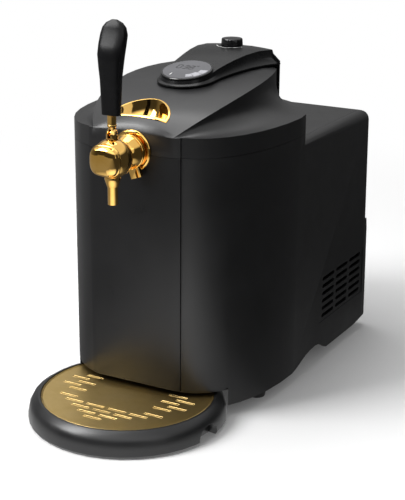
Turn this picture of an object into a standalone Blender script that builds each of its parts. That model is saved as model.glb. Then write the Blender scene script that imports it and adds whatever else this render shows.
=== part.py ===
"""Counter-top draft beer dispenser for five litre kegs, modelled in metres with +Z up.

The drum in front holds the insulated keg well, the box behind it the cooling unit, and the lid
carries the gas regulator and the display.  The tap sits in a saddle where the lid meets the body,
and a round drip tray slides out from under the front.

Every piece is laid out from the upright axis of the drum.  The empty "drum_axis" carries them
all and stands where the whole machine is centred over the origin.
"""
import math

import bmesh
import bpy
import numpy as np
from mathutils import Matrix, Vector

# Clearances and construction
SEAT = 0.0003
SLIDE_GAP = 0.0006
OVERRUN = 0.006
MERGE = 0.000001
SMOOTH_ANGLE = math.radians(32)

# Housing
DRUM_HALF_WIDTH = 0.1255
DRUM_FRONT = 0.1306
DRUM_WIDEST_SETBACK = 0.025
DRUM_REAR = 0.122
REAR_CHORD_HALF = 0.0514
FRONT_CORNER_shares = ((0.62, 0.067), (1.0, 0.433))
SHELL_WALL = 0.003
SHELL_BOTTOM = 0.0125
SPLIT_HEIGHT = 0.3014
BOX_HALF_WIDTH = 0.1282
BOX_TOP_HALF_WIDTH = 0.125
BOX_TOP_DROP = 0.0091
BOX_REAR = 0.2436
BOX_START = 0.02
BOX_SHOULDER_RADIUS = 0.012
BOX_EDGE_RADIUS = 0.009
BULGE_REAR = 0.2506
BULGE_TOP = 0.149
BULGE_SLOPE = 0.014

# Front panel with its bevelled side strips
PANEL_FLAT_HALF = 0.0497
STRIP_WIDTH = 0.0075
STRIP_DEPTH = 0.0023
SEAM_STEP = 0.0022
PANEL_BOTTOM = 0.0341

# Side grip arches under the box, side air slots and rear edge
ARCH_START = 0.024
ARCH_PEAK = 0.088
ARCH_END = 0.122
ARCH_HEIGHT = 0.0255
TAIL_RISE_START = 0.204
TAIL_RISE = 0.0045
VENT_COLUMNS = 3
VENT_ROWS = 6
VENT_LENGTH = 0.0366
VENT_HEIGHT = 0.0048
VENT_COLUMN_PITCH = 0.0414
VENT_ROW_PITCH = 0.0096
VENT_CENTRE_Y = 0.1655
VENT_TOP_ROW = 0.1062
VENT_FIELD_MARGIN = 0.007
VENT_FIELD_DEPTH = 0.0007

# Deck panel on the box
DECK_HALF_WIDTH = 0.110
DECK_REAR_MARGIN = 0.0095
DECK_THICKNESS = 0.0024
DECK_LEDGE = 0.003

# Rear cover and mains inlet
COVER_HALF_WIDTH = 0.094
COVER_BOTTOM = 0.036
COVER_TOP = 0.128
COVER_THICKNESS = 0.0026
COVER_LEDGE = 0.007
COVER_SCREW_MARGIN = 0.0042
COVER_CORNER_RADIUS = 0.006
COVER_SLOTS = 6
COVER_SLOT_HEIGHT = 0.0045
COVER_SLOT_PITCH = 0.0115
COVER_SLOT_HALF_LENGTH = 0.038
COVER_SLOT_CENTRE_X = 0.012
COVER_SLOT_BOTTOM = 0.051
INLET_X = -0.069
INLET_Z = 0.062
INLET_HALF_WIDTH = 0.0135
INLET_HALF_HEIGHT = 0.0105
INLET_FLANGE = 0.003
INLET_DEPTH = 0.022
INLET_SOCKET_DEPTH = 0.016
INLET_WALL = 0.0022
INLET_PIN = 0.0012
INLET_PIN_SPACING = 0.007

# Base plate and feet
BASE_BOTTOM = 0.0305
BASE_THICKNESS = 0.003
FOOT_RADIUS = 0.011
FOOT_TAPER = 0.0015
FOOT_HEIGHT = 0.0077
FOOT_BOSS_RADIUS = 0.013
FOOT_FRONT_INSET = 0.0225
FOOT_FRONT_Y = -0.026
FOOT_REAR_INSET = 0.0362
FOOT_REAR_Y = 0.212
TRAY_GUIDE_THICKNESS = 0.003
TRAY_GUIDE_DEPTH = 0.014
TRAY_GUIDE_REAR = 0.016

# Keg well
WELL_RADIUS = 0.088
WELL_WALL = 0.001
WELL_FLOOR = 0.044
WELL_CORNER_RADIUS = 0.008
WELL_FLANGE = 0.007
WELL_RIM_DROP = 0.0051
COLLAR_THICKNESS = 0.0035
PROBE_RADIUS = 0.0026
PROBE_LENGTH = 0.045
PROBE_ANGLE = math.radians(150)

# Cooling unit
COOLER_HEIGHT = 0.084
COLD_BLOCK_HALF = 0.0257
PELTIER_HALF = 0.020
PELTIER_THICKNESS = 0.0038
SINK_HALF = 0.045
SINK_BASE = 0.006
SINK_DEPTH = 0.033
SINK_FINS = 11
SINK_FIN_THICKNESS = 0.0016
FAN_HALF = 0.040
FAN_DEPTH = 0.025
FAN_BORE_RADIUS = 0.038
FAN_HUB_RADIUS = 0.016
FAN_BLADES = 7
FAN_BLADE_THICKNESS = 0.0014
FAN_BLADE_PITCH = math.radians(38)
FAN_TIP_GAP = 0.0015
FAN_SPIDER = 0.003
FAN_SPOKE_HALF = 0.002
FAN_HOLE_OFFSET = 0.0357
BOARD_HALF_WIDTH = 0.048
BOARD_FRONT = 0.182
BOARD_DEPTH = 0.048
BOARD_THICKNESS = 0.0016
BOARD_STANDOFF = 0.004
TRANSFORMER_HALF = 0.014
TRANSFORMER_HEIGHT = 0.019
CAPACITOR_RADIUS = 0.006
CAPACITOR_HEIGHT = 0.018

# Lid
LID_WALL = 0.003
RIM_RISE = 0.022
RIDGE_ACROSS_shares = (0.667, 0.79, 0.465)
RIDGE_ALONG_shares = (0.0, 0.184, 0.607, 1.0)
RIDGE_RISE_shares = (0.0, 0.70, 0.968, 0.855)
CROWN_ALONG_shares = (0.0, 0.028, 0.154, 1.0)
CROWN_RISE_shares = (0.0, 0.545, 0.75, 1.0)
TONGUE_RISE = 0.044
TONGUE_REAR = 0.101
COVE_EXPONENT = 1.2
COVE_STEPS = 6
TONGUE_STEPS = 8
LID_TOP_WALL = 0.0035

# Finger scoop in the front of the lid
SCOOP_LIP_SETOUT = 0.118
SCOOP_HALF_WIDTH = 0.0335
SCOOP_DEPTH_BACK = 0.035
SCOOP_CORNER_shares = ((1.0, 0.0), (1.1, 0.32), (0.9, 0.95))
SCOOP_FLOOR_DROP = 0.0056
SCOOP_WALL = 0.0012
SCOOP_BRIM = 0.0016
SCOOP_PROUD = 0.0009

# Console on the lid: round display head and the spine that runs back to the hinge
CONSOLE_OVERHANG = 0.0035
CONSOLE_SHADOW_GAP = 0.0016
CONSOLE_TOP_HALF = 0.0445
CONSOLE_FOOT_HALF = 0.0555
CONSOLE_FLARE = 0.0042
CONSOLE_PLUG_INSET = 0.008
CONSOLE_PLUG_DEPTH = 0.006
CONSOLE_WALL = 0.003
CONSOLE_TOP_shares = (0.0, 0.42, 0.72, 1.0)
CONSOLE_RISE_shares = (0.0, 0.85, 1.42, 1.0)
CONSOLE_RISE = 0.0158
CONSOLE_CROWN = 0.0026
CONSOLE_CROWN_START = 0.024
CONSOLE_CROWN_FULL = 0.070
CONSOLE_CROWN_shares = (0.75, 0.4)
CONSOLE_LEG_THICKNESS = 0.0030
CONSOLE_LEG_RISE = 0.0016
DISPLAY_SETOUT = 0.0125
DISPLAY_RADIUS = 0.0298
DISPLAY_TILT = math.radians(11.3)
DISPLAY_RISE = 0.0053
DISPLAY_THICKNESS = 0.0024
DISPLAY_RIM = 0.0018
DISPLAY_LENS_THICKNESS = 0.0012
DISPLAY_WINDOW_RADIUS = 0.022
DISPLAY_BOARD_DROP = 0.0034
KNOB_SETBACK = 0.098
KNOB_RADIUS = 0.0132
KNOB_HEIGHT = 0.0084
KNOB_SEAT_RISE = 0.0111
KNOB_FLUTES = 20
KNOB_FLUTE_DEPTH = 0.0005
KNOB_EDGE = 0.0012
KNOB_STEM_RADIUS = 0.003
KNOB_STEM_LENGTH = 0.0085
REGULATOR_RADIUS = 0.011
REGULATOR_FLANGE_RADIUS = 0.0145
REGULATOR_FLANGE = 0.003
REGULATOR_CEILING_DROP = 0.0034
CARTRIDGE_RADIUS = 0.012
CARTRIDGE_SETBACK = 0.0935
CARTRIDGE_DROP = 0.0059
CARTRIDGE_END_GAP = 0.0084
CARTRIDGE_CAP_LENGTH = 0.010
CARTRIDGE_CAP_RADIUS = 0.0125
BORE_STEP = 0.0014

# Inner pan of the lid and its seal
PAN_RISE = 0.0006
PAN_THICKNESS = 0.002
PAN_DOME_RADIUS = 0.080
PAN_DOME_TOP_RADIUS = 0.058
PAN_DOME_RISE = 0.039
PAN_WALL_RISE = 0.024
PAN_WALL_TOP_RADIUS = 0.074
PAN_TUNNEL_HALF = 0.0099
SEAL_INNER = 0.0885
SEAL_WIDTH = 0.006

# Lid hinge
HINGE_SETBACK = 0.0062
HINGE_RISE = 0.0086
HINGE_BARREL_RADIUS = 0.0054
HINGE_PIN_RADIUS = 0.002
HINGE_PIN_GAP = 0.0004
HINGE_LEAF_HALF = 0.024
HINGE_EAR_LENGTH = 0.018
HINGE_PLATE = 0.002
HINGE_LEAF_RISE = 0.0441
BRACKET_REACH = 0.0178

# Tap
TAP_RISE = 0.0029
TAP_SETOUT = 0.1714
TAP_BALL_RADIUS = 0.0217
TAP_FRONT_CUT = 0.012
TAP_REAR_CUT = 0.0179
TAP_BORE_RADIUS = 0.0064
SADDLE_RADIUS = 0.0086
SHANK_RADIUS = 0.008
SHANK_BORE = 0.004
SHANK_TAIL = 0.097
BARB_RADIUS = 0.0062
BARB_LENGTH = 0.018
FLANGE_RADIUS = 0.023
FLANGE_THICKNESS = 0.0042
FLANGE_HUB_RADIUS = 0.0115
LOCK_RING_RADIUS = 0.0192
LOCK_RING_WIDTH = 0.0055
LOCK_TAB_REACH = 0.0290
LOCK_TAB_HALF = 0.0065
LOCK_REST = math.radians(20)
COUPLING_FACETS = 12
COUPLING_RADIUS = 0.0192
COUPLING_NECK = 0.0124
NUT_RADIUS = 0.014
NUT_THICKNESS = 0.006
WASHER_RADIUS = 0.013
WASHER_THICKNESS = 0.001
CAP_HALF_WIDTH = 0.0183
CAP_HALF_HEIGHT = 0.0170
CAP_DEPTH = 0.0094
CAP_EXPONENT = 2.9
CAP_PROFILE_shares = ((1.0, 0.0), (1.0, 0.2), (0.945, 0.26), (0.91, 0.62), (0.76, 0.88), (0.42, 1.0))
BONNET_RADIUS = 0.0064
BONNET_BOTTOM_DROP = 0.0062
PIVOT_RISE = 0.0267
BONNET_DOME_RADIUS = 0.0063
BONNET_BORE_RADIUS = 0.0043
LEVER_STEM_RADIUS = 0.0042
LEVER_STEM_RISE = 0.0196
LEVER_ROD_RADIUS = 0.0016
LEVER_EYE_RADIUS = 0.0036
LEVER_TAIL = 0.019
LEVER_PIN_RADIUS = 0.0015
LEVER_PIN_HALF = 0.0056
LEVER_TRAVEL = math.radians(28)
HANDLE_LENGTH = 0.0972
HANDLE_LEAN = 0.008
HANDLE_HALF_WIDTH = 0.015
HANDLE_HALF_DEPTH = 0.0087
HANDLE_EXPONENT = 4.2
HANDLE_shares = ((0.0, 0.68, 0.60, -0.06), (0.19, 0.72, 0.68, -0.07), (0.38, 0.76, 0.77, -0.07),
                 (0.52, 0.85, 0.91, -0.03), (0.645, 0.93, 1.0, 0.07), (0.75, 0.98, 0.86, 0.42),
                 (0.845, 1.0, 0.66, 0.80), (0.92, 0.88, 0.54, 0.93), (0.968, 0.62, 0.38, 0.98),
                 (1.0, 0.22, 0.14, 1.0))
HANDLE_SOCKET_DEPTH = 0.012
PLUNGER_FRONT = 0.0096
PLUNGER_REAR = 0.0084
PLUNGER_TRAVEL = 0.008
YOKE_HALF_LENGTH = 0.0048
YOKE_HALF_WIDTH = 0.0044
YOKE_SLOT_HALF = 0.0037
YOKE_TOP_RISE = 0.0122
SPOUT_TOP_RADIUS = 0.0087
SPOUT_TUBE_RADIUS = 0.0056
SPOUT_BORE_RADIUS = 0.0042
SPOUT_SEAT_RISE = 0.0195
SPOUT_CONE_DROP = 0.0107
SPOUT_DROP = 0.0497

# Drip tray and its plate
TRAY_SETOUT = 0.1459
TRAY_RADIUS = 0.112
TRAY_HEIGHT = 0.0283
TRAY_BASIN_RADIUS = 0.0915
TRAY_FLOOR = 0.004
TRAY_FLOOR_BOTTOM = 0.0
TRAY_LEDGE = 0.0245
TRAY_DRAFT = 0.002
TRAY_PROFILE_shares = ((0.982, 0.0), (1.0, 0.11), (0.998, 0.36), (0.985, 0.62), (0.955, 0.85), (0.90, 1.0))
TRAY_TONGUE_HALF = 0.030
TRAY_TONGUE_REAR = 0.008
TRAY_TONGUE_BOTTOM = 0.016
NOTCH_HALF_WIDTH = 0.0165
NOTCH_HEIGHT = 0.0175
NOTCH_ANGLE = math.radians(-6)
NOTCH_DEPTH = 0.013
PLATE_RADIUS = 0.0977
PLATE_THICKNESS = 0.0020
PLATE_RIM = 0.0016
PLATE_RIM_RISE = 0.0006
SLOT_LENGTH = 0.022
SLOT_WIDTH = 0.0026
SLOT_GAP = 0.0055
SLOT_PITCH = 0.0092
SLOT_BAND = (0.043, 0.081)

# Screws
SCREW_RADIUS = 0.0015
SCREW_HEAD_RADIUS = 0.003
SCREW_HEAD = 0.0016
SCREW_LENGTH = 0.008
SCREW_GAP = 0.0004

# Sizes that follow from those above
PANEL_EDGE = PANEL_FLAT_HALF + STRIP_WIDTH
BODY_FRONT = DRUM_FRONT - STRIP_DEPTH - SEAM_STEP
LID_BOTTOM = SPLIT_HEIGHT + SEAT
BOX_TOP = SPLIT_HEIGHT - BOX_TOP_DROP
RIM_HEIGHT = SPLIT_HEIGHT + RIM_RISE
WELL_RIM = SPLIT_HEIGHT - WELL_RIM_DROP
PAN_HEIGHT = SPLIT_HEIGHT + PAN_RISE
PAN_DOME_TOP = PAN_HEIGHT + PAN_DOME_RISE
PAN_WALL_TOP = PAN_HEIGHT + PAN_WALL_RISE
SCOOP_FLOOR = RIM_HEIGHT - SCOOP_FLOOR_DROP
DISPLAY_HEIGHT = RIM_HEIGHT + TONGUE_RISE + DISPLAY_RISE
KNOB_SEAT_HEIGHT = DISPLAY_HEIGHT + KNOB_SEAT_RISE
REGULATOR_CEILING = KNOB_SEAT_HEIGHT - REGULATOR_CEILING_DROP
CARTRIDGE_HEIGHT = RIM_HEIGHT - CARTRIDGE_DROP
CARTRIDGE_REACH = DRUM_HALF_WIDTH * RIDGE_ACROSS_shares[-1] - CARTRIDGE_END_GAP
CARTRIDGE_HALF_LENGTH = CARTRIDGE_REACH - CARTRIDGE_CAP_LENGTH
FOOT_FRONT_X = DRUM_HALF_WIDTH - FOOT_FRONT_INSET
FOOT_REAR_X = BOX_HALF_WIDTH - FOOT_REAR_INSET
TAP_HEIGHT = SPLIT_HEIGHT + TAP_RISE
PIVOT_HEIGHT = TAP_HEIGHT + PIVOT_RISE
LEVER_STEM_TOP = PIVOT_HEIGHT + LEVER_STEM_RISE
HANDLE_TOP = LEVER_STEM_TOP + HANDLE_LENGTH
SPOUT_BOTTOM = TAP_HEIGHT - SPOUT_DROP
DRUM_REAR_DEPTH = DRUM_REAR - DRUM_WIDEST_SETBACK
CHORD_Y = DRUM_WIDEST_SETBACK + DRUM_REAR_DEPTH * math.sqrt(1 - (REAR_CHORD_HALF / DRUM_HALF_WIDTH) ** 2)
CONSOLE_REAR = CHORD_Y + CONSOLE_OVERHANG
CONSOLE_LEG_BOTTOM = SPLIT_HEIGHT + CONSOLE_LEG_RISE
HINGE_Y = CONSOLE_REAR + HINGE_SETBACK
HINGE_Z = BOX_TOP + HINGE_RISE
HINGE_LEAF_TOP = HINGE_Z + HINGE_LEAF_RISE
BRACKET_REAR = HINGE_Y + BRACKET_REACH
BASE_TOP = BASE_BOTTOM + BASE_THICKNESS
WELL_OUTER = WELL_RADIUS + WELL_WALL
COLLAR_TOP = WELL_RIM - WELL_WALL - SEAT
COLLAR_BOTTOM = COLLAR_TOP - COLLAR_THICKNESS
FOAM_TOP = COLLAR_BOTTOM - SEAT
FOAM_BOTTOM = BASE_TOP + SEAT
FOAM_REAR = CHORD_Y - SHELL_WALL - SEAT
WALL_FACE = BODY_FRONT - SHELL_WALL
PELTIER_Y = FOAM_REAR + SEAT
SINK_Y = PELTIER_Y + PELTIER_THICKNESS + SEAT
FAN_Y = SINK_Y + SINK_DEPTH + SEAT
FAN_MIDDLE = FAN_Y + FAN_DEPTH / 2
TRAY_REACH = TRAY_SETOUT + TRAY_RADIUS
REAR_REACH = BULGE_REAR + SEAT + SCREW_HEAD
DRUM_Y = (TRAY_REACH - REAR_REACH) / 2
TAP_FRONT_FACE = TAP_SETOUT + TAP_FRONT_CUT
TAP_REAR_FACE = TAP_SETOUT - TAP_REAR_CUT
FLANGE_FACE = DRUM_FRONT + SEAT + FLANGE_THICKNESS
LOCK_RING_FRONT = FLANGE_FACE + SEAT + LOCK_RING_WIDTH
COUPLING_FACE = LOCK_RING_FRONT + SEAT


# Scene set-up
for old in list(bpy.data.objects):
    bpy.data.objects.remove(old, do_unlink=True)

AXIS = bpy.data.objects.new("drum_axis", None)
bpy.context.scene.collection.objects.link(AXIS)
AXIS.location = (0, DRUM_Y, 0)


# Finishes
def finish(name, colour, roughness, metallic=0.0):
    """A Principled material of one colour."""
    made = bpy.data.materials.new(name)
    made.use_nodes = True
    made.diffuse_color = (*colour, 1)
    shader = made.node_tree.nodes["Principled BSDF"]
    shader.inputs["Base Color"].default_value = (*colour, 1)
    shader.inputs["Roughness"].default_value = roughness
    shader.inputs["Metallic"].default_value = metallic
    return made


SATIN_BLACK = finish("satin_black_plastic", (0.016, 0.016, 0.017), 0.38)
GLOSS_BLACK = finish("gloss_black_plastic", (0.010, 0.010, 0.011), 0.12)
GREY_PLASTIC = finish("grey_plastic", (0.30, 0.31, 0.32), 0.45)
GOLD = finish("gold_plated_brass", (0.86, 0.58, 0.17), 0.10, 1.0)
BRONZE_PLATE = finish("gold_drip_plate", (0.52, 0.39, 0.14), 0.22, 1.0)
DISPLAY_GREY = finish("display_glass", (0.26, 0.27, 0.29), 0.08)
RUBBER = finish("black_rubber", (0.02, 0.02, 0.02), 0.75)
SILICONE = finish("grey_silicone", (0.42, 0.42, 0.42), 0.6)
ALUMINIUM = finish("aluminium", (0.72, 0.73, 0.74), 0.32, 1.0)
STEEL = finish("stainless_steel", (0.58, 0.58, 0.59), 0.25, 1.0)
FOAM = finish("white_foam", (0.86, 0.86, 0.84), 0.9)
CERAMIC = finish("white_ceramic", (0.88, 0.88, 0.86), 0.5)
CIRCUIT = finish("green_circuit_board", (0.03, 0.22, 0.10), 0.5)
BRASS = finish("brass", (0.62, 0.46, 0.18), 0.3, 1.0)


# Curves and outlines
def bezier(start, pull, push, end, steps):
    """Points of a cubic curve, the start left out."""
    points = []
    for step in range(1, steps + 1):
        t = step / steps
        weights = ((1 - t) ** 3, 3 * t * (1 - t) ** 2, 3 * t * t * (1 - t), t ** 3)
        point = [sum(w * p[axis] for w, p in zip(weights, (start, pull, push, end)))
                 for axis in range(len(start))]
        points.append(tuple(point))
    return points


def arc(centre, radii, first, last, steps):
    """Points of an elliptic arc from angle first to angle last, both ends included."""
    angles = [first + (last - first) * step / steps for step in range(steps + 1)]
    return [(centre[0] + radii[0] * math.cos(a), centre[1] + radii[1] * math.sin(a)) for a in angles]


def circle(radius, steps, centre=(0, 0)):
    return arc(centre, (radius, radius), 0, math.tau, steps)[:-1]


def rectangle(x_low, x_high, y_low, y_high):
    return [(x_low, y_low), (x_high, y_low), (x_high, y_high), (x_low, y_high)]


def stadium(half_length, half_width, centre=(0, 0)):
    """A slot outline with pointed round ends."""
    cx, cy = centre
    run = half_length - half_width
    return [(cx - run, cy - half_width), (cx + run, cy - half_width), (cx + half_length, cy),
            (cx + run, cy + half_width), (cx - run, cy + half_width), (cx - half_length, cy)]


def superellipse(half_width, half_depth, exponent, steps):
    points = []
    for step in range(steps):
        angle = math.tau * (step + 0.5) / steps
        c, s = math.cos(angle), math.sin(angle)
        points.append((half_width * math.copysign(abs(c) ** (2 / exponent), c),
                       half_depth * math.copysign(abs(s) ** (2 / exponent), s)))
    return points


def mirrored(half):
    """The closed outline of a right half that starts at the front and ends at the rear."""
    left = [(-x, y) for x, y in reversed(half) if x > MERGE]
    return list(half) + left


def inset(outline, distance):
    """The closed outline moved inwards, for outlines that run anticlockwise."""
    count = len(outline)
    moved = []
    for index in range(count):
        before, here, after = (Vector(outline[(index + k) % count]) for k in (-1, 0, 1))
        arriving, leaving = (here - before).normalized(), (after - here).normalized()
        normal_in = Vector((-arriving.y, arriving.x))
        normal_out = Vector((-leaving.y, leaving.x))
        bisector = (normal_in + normal_out).normalized()
        moved.append(tuple(here + bisector * distance / max(bisector.dot(normal_in), 0.5)))
    return moved


# Mesh makers
def laid(points, level, axis):
    """Two-dimensional points placed across the given axis at a level."""
    if axis == "Z":
        return [(a, b, level) for a, b in points]
    if axis == "Y":
        return [(a, level, b) for a, b in points]
    return [(level, a, b) for a, b in points]


def loft(rings, ladder=False):
    """A closed solid skinned over rings of equal count.

    The two ends are one face each, or with ladder rungs between mirrored points, which keeps
    a curved end smooth.
    """
    bm = bmesh.new()
    rows = [[bm.verts.new(point) for point in ring] for ring in rings]
    count = len(rows[0])
    for low, high in zip(rows, rows[1:]):
        for k in range(count):
            after = (k + 1) % count
            bm.faces.new((low[k], low[after], high[after], high[k]))
    for row in (rows[0], rows[-1]):
        if not ladder:
            bm.faces.new(row)
            continue
        half = count // 2
        bm.faces.new((row[0], row[1], row[-1]))
        for k in range(1, half - 1):
            bm.faces.new((row[k], row[k + 1], row[-k - 1], row[-k]))
        bm.faces.new((row[half - 1], row[half], row[-half + 1]))
    return closed(bm)


def closed(bm):
    """Merge coincident points and turn every face outwards."""
    bmesh.ops.remove_doubles(bm, verts=bm.verts, dist=MERGE)
    bmesh.ops.dissolve_degenerate(bm, dist=MERGE, edges=bm.edges)
    bmesh.ops.recalc_face_normals(bm, faces=bm.faces)
    return bm


def prism(outline, low, high, axis="Z"):
    return loft([laid(outline, low, axis), laid(outline, high, axis)])


def block(x_low, x_high, y_low, y_high, z_low, z_high):
    return prism(rectangle(x_low, x_high, y_low, y_high), z_low, z_high)


def turned(profile, steps, axis="Z", centre=(0, 0, 0)):
    """A closed profile of (radius, height) spun once round an axis through centre."""
    bm = bmesh.new()
    verts = [bm.verts.new((radius, 0, height)) for radius, height in profile]
    edges = []
    for first, second in zip(verts, verts[1:] + verts[:1]):
        if first.co.x > MERGE or second.co.x > MERGE:
            edges.append(bm.edges.new((first, second)))
    bmesh.ops.spin(bm, geom=verts + edges, cent=(0, 0, 0), axis=(0, 0, 1), angle=math.tau,
                   steps=steps, use_merge=False, use_duplicate=False)
    closed(bm)
    if axis == "Y":
        bmesh.ops.rotate(bm, verts=bm.verts, cent=(0, 0, 0), matrix=Matrix.Rotation(-math.pi / 2, 3, "X"))
    if axis == "X":
        bmesh.ops.rotate(bm, verts=bm.verts, cent=(0, 0, 0), matrix=Matrix.Rotation(math.pi / 2, 3, "Y"))
    bmesh.ops.translate(bm, verts=bm.verts, vec=centre)
    return bm


def rod(radius, low, high, steps, axis="Z", centre=(0, 0)):
    """A plain cylinder between two levels of an axis."""
    return prism(circle(radius, steps, centre), low, high, axis)


def merged(*shapes):
    """Several separate shapes as one mesh."""
    whole = bmesh.new()
    for shape in shapes:
        mesh = bpy.data.meshes.new("part_shape")
        shape.to_mesh(mesh)
        shape.free()
        whole.from_mesh(mesh)
        bpy.data.meshes.remove(mesh)
    return whole


# Objects
def solid(name, shape, material, smooth=True):
    """A sub-part of the machine."""
    mesh = bpy.data.meshes.new(name)
    shape.to_mesh(mesh)
    shape.free()
    mesh.materials.append(material)
    if smooth:
        mesh.shade_smooth()
        mesh.set_sharp_from_angle(angle=SMOOTH_ANGLE)
    made = bpy.data.objects.new(name, mesh)
    bpy.context.scene.collection.objects.link(made)
    made.parent = AXIS
    return made


def guide(name, shape):
    """A shape that only cuts or joins others."""
    mesh = bpy.data.meshes.new(name)
    shape.to_mesh(mesh)
    shape.free()
    made = bpy.data.objects.new(name, mesh)
    bpy.context.scene.collection.objects.link(made)
    made.parent = AXIS
    made.hide_render = True
    made.display_type = "WIRE"
    return made


def combine(target, shape, operation, label):
    """Add a Boolean with a new guide made of the shape."""
    tool = guide(f"{target.name}_{label}", shape)
    change = target.modifiers.new(label, "BOOLEAN")
    change.operation = operation
    change.solver = "EXACT"
    change.object = tool
    return tool


def cut(target, shape, label):
    return combine(target, shape, "DIFFERENCE", label)


def add(target, shape, label):
    return combine(target, shape, "UNION", label)


def origin_at(made, point):
    """Move the object's origin to a point of the machine without moving the object."""
    made.data.transform(Matrix.Translation(-Vector(point)))
    made.location = point
    return made


# Plan of the drum and the housing
def front_curve(front):
    """The round front corner, from the seam beside the panel to the widest point."""
    start = (PANEL_EDGE + SEAT, -front)
    end = (DRUM_HALF_WIDTH, DRUM_WIDEST_SETBACK)
    run, rise = end[0] - start[0], end[1] - start[1]
    pulls = [(start[0] + run * across, start[1] + rise * along) for across, along in FRONT_CORNER_shares]
    return [start] + bezier(start, pulls[0], pulls[1], end, 8)


def drum_half(front):
    """The right half of the drum's plan, cut off behind by a short chord."""
    last = math.acos(REAR_CHORD_HALF / DRUM_HALF_WIDTH)
    rear = arc((0, DRUM_WIDEST_SETBACK), (DRUM_HALF_WIDTH, DRUM_REAR_DEPTH), 0, last, 5)[1:]
    return front_curve(front) + rear


def drum_outline(distance=0.0, front=BODY_FRONT):
    """The plan of the drum behind its front panel, moved inwards by a distance."""
    return inset(mirrored(drum_half(front)), distance)


def housing_outline(distance=0.0):
    """The plan of drum and box together."""
    corner = BOX_EDGE_RADIUS
    half = front_curve(BODY_FRONT)
    half += arc((BOX_HALF_WIDTH - corner, BOX_REAR - corner), (corner, corner), 0, math.pi / 2, 4)
    return inset(mirrored(half), distance)


def box_half(z, back):
    """Half the width of the box at a height, from the drum in front (0) to its drafted rear (1)."""
    front = DRUM_HALF_WIDTH - SEAT
    rear = BOX_HALF_WIDTH + (BOX_TOP_HALF_WIDTH - BOX_HALF_WIDTH) * (z - SHELL_BOTTOM) / (BOX_TOP - SHELL_BOTTOM)
    return front + (rear - front) * back


def box_section(distance, bottom, top, back):
    """The cross-section of the box at one place of its depth, with round shoulders."""
    radius = max(BOX_SHOULDER_RADIUS - distance, OVERRUN / 4)
    turn = top - distance - radius
    right = [(box_half(bottom, back) - distance, bottom)]
    right += arc((box_half(turn, back) - distance - radius, turn), (radius, radius), 0, math.pi / 2, 5)
    return right + [(-x, z) for x, z in reversed(right)]


def box_form(distance, bottom):
    """The box as a solid whose rear edges are rounded all round."""
    rings = [laid(box_section(distance, bottom, BOX_TOP, 0), BOX_START, "Y")]
    for step in range(4):
        turn = math.pi / 2 * step / 3
        back_in = BOX_EDGE_RADIUS * (1 - math.cos(turn))
        y = BOX_REAR - distance - BOX_EDGE_RADIUS + BOX_EDGE_RADIUS * math.sin(turn)
        rings.append(laid(box_section(distance + back_in, bottom, BOX_TOP, 1), y, "Y"))
    return loft(rings)


def bulge_form():
    """The thicker lower part of the back, sloping out below the hand edge."""
    corner = BOX_EDGE_RADIUS
    rings = []
    for z, rear in ((SHELL_BOTTOM, BULGE_REAR), (BULGE_TOP - BULGE_SLOPE, BULGE_REAR), (BULGE_TOP, BOX_REAR - SEAT)):
        side = box_half(z, 1) - SEAT
        plan = [(side, BOX_REAR - corner - OVERRUN)]
        plan += arc((side - corner, BULGE_REAR - corner), (corner, corner), 0, math.pi / 2, 4)
        rings.append([(x, min(y, rear), z) for x, y in plan + [(-x, y) for x, y in reversed(plan)]])
    return loft(rings)


# Surfaces of the lid
def curve_values(controls, t):
    """One cubic curve's value at t for each of the rows of four control values."""
    weights = ((1 - t) ** 3, 3 * t * (1 - t) ** 2, 3 * t * t * (1 - t), t ** 3)
    return [sum(weight * value for weight, value in zip(weights, row)) for row in controls]


def ridge_controls():
    """Across, along and rise of the ridge between the top tongue and the cove beside it."""
    length = DRUM_FRONT + TONGUE_REAR
    across = [PANEL_FLAT_HALF] + [DRUM_HALF_WIDTH * share for share in RIDGE_ACROSS_shares]
    along = [length * share - DRUM_FRONT for share in RIDGE_ALONG_shares]
    rise = [TONGUE_RISE * share for share in RIDGE_RISE_shares]
    return across, along, rise


def crown_controls():
    """Along and rise of the tongue's middle line."""
    length = DRUM_FRONT + TONGUE_REAR
    along = [length * share - DRUM_FRONT for share in CROWN_ALONG_shares]
    rise = [TONGUE_RISE * share for share in CROWN_RISE_shares]
    return along, rise


CURVE_SAMPLES = [step / 80 for step in range(81)]
RIDGE_TABLE = np.array([curve_values(ridge_controls(), t) for t in CURVE_SAMPLES])
CROWN_TABLE = np.array([curve_values(crown_controls(), t) for t in CURVE_SAMPLES])


def crown_rise(y):
    """Height of the tongue's middle line above the rim of the lid."""
    return float(np.interp(y, CROWN_TABLE[:, 0], CROWN_TABLE[:, 1]))


def tongue_height(x, y):
    """Height of the top of the lid over a point of its tongue."""
    half = float(np.interp(y, RIDGE_TABLE[:, 1], RIDGE_TABLE[:, 0]))
    edge = float(np.interp(y, RIDGE_TABLE[:, 1], RIDGE_TABLE[:, 2]))
    share = min(abs(x) / half, 1.0)
    return RIM_HEIGHT + edge + (crown_rise(y) - edge) * (1 - share * share)


def lid_half(distance):
    """The right half of the lid's plan, with the front corner divided where the ridge leaves it."""
    if distance:
        return [point for point in drum_outline(distance, BODY_FRONT + SEAM_STEP) if point[0] > MERGE][
            :len(drum_half(BODY_FRONT))]
    corner = (PANEL_FLAT_HALF, -DRUM_FRONT)
    edge = (PANEL_EDGE, STRIP_DEPTH - DRUM_FRONT)
    strip = [(corner[0] + STRIP_WIDTH * share, corner[1] + STRIP_DEPTH * share) for share in (0, 0.3, 0.65)]
    return strip + [edge] + drum_half(BODY_FRONT)


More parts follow.
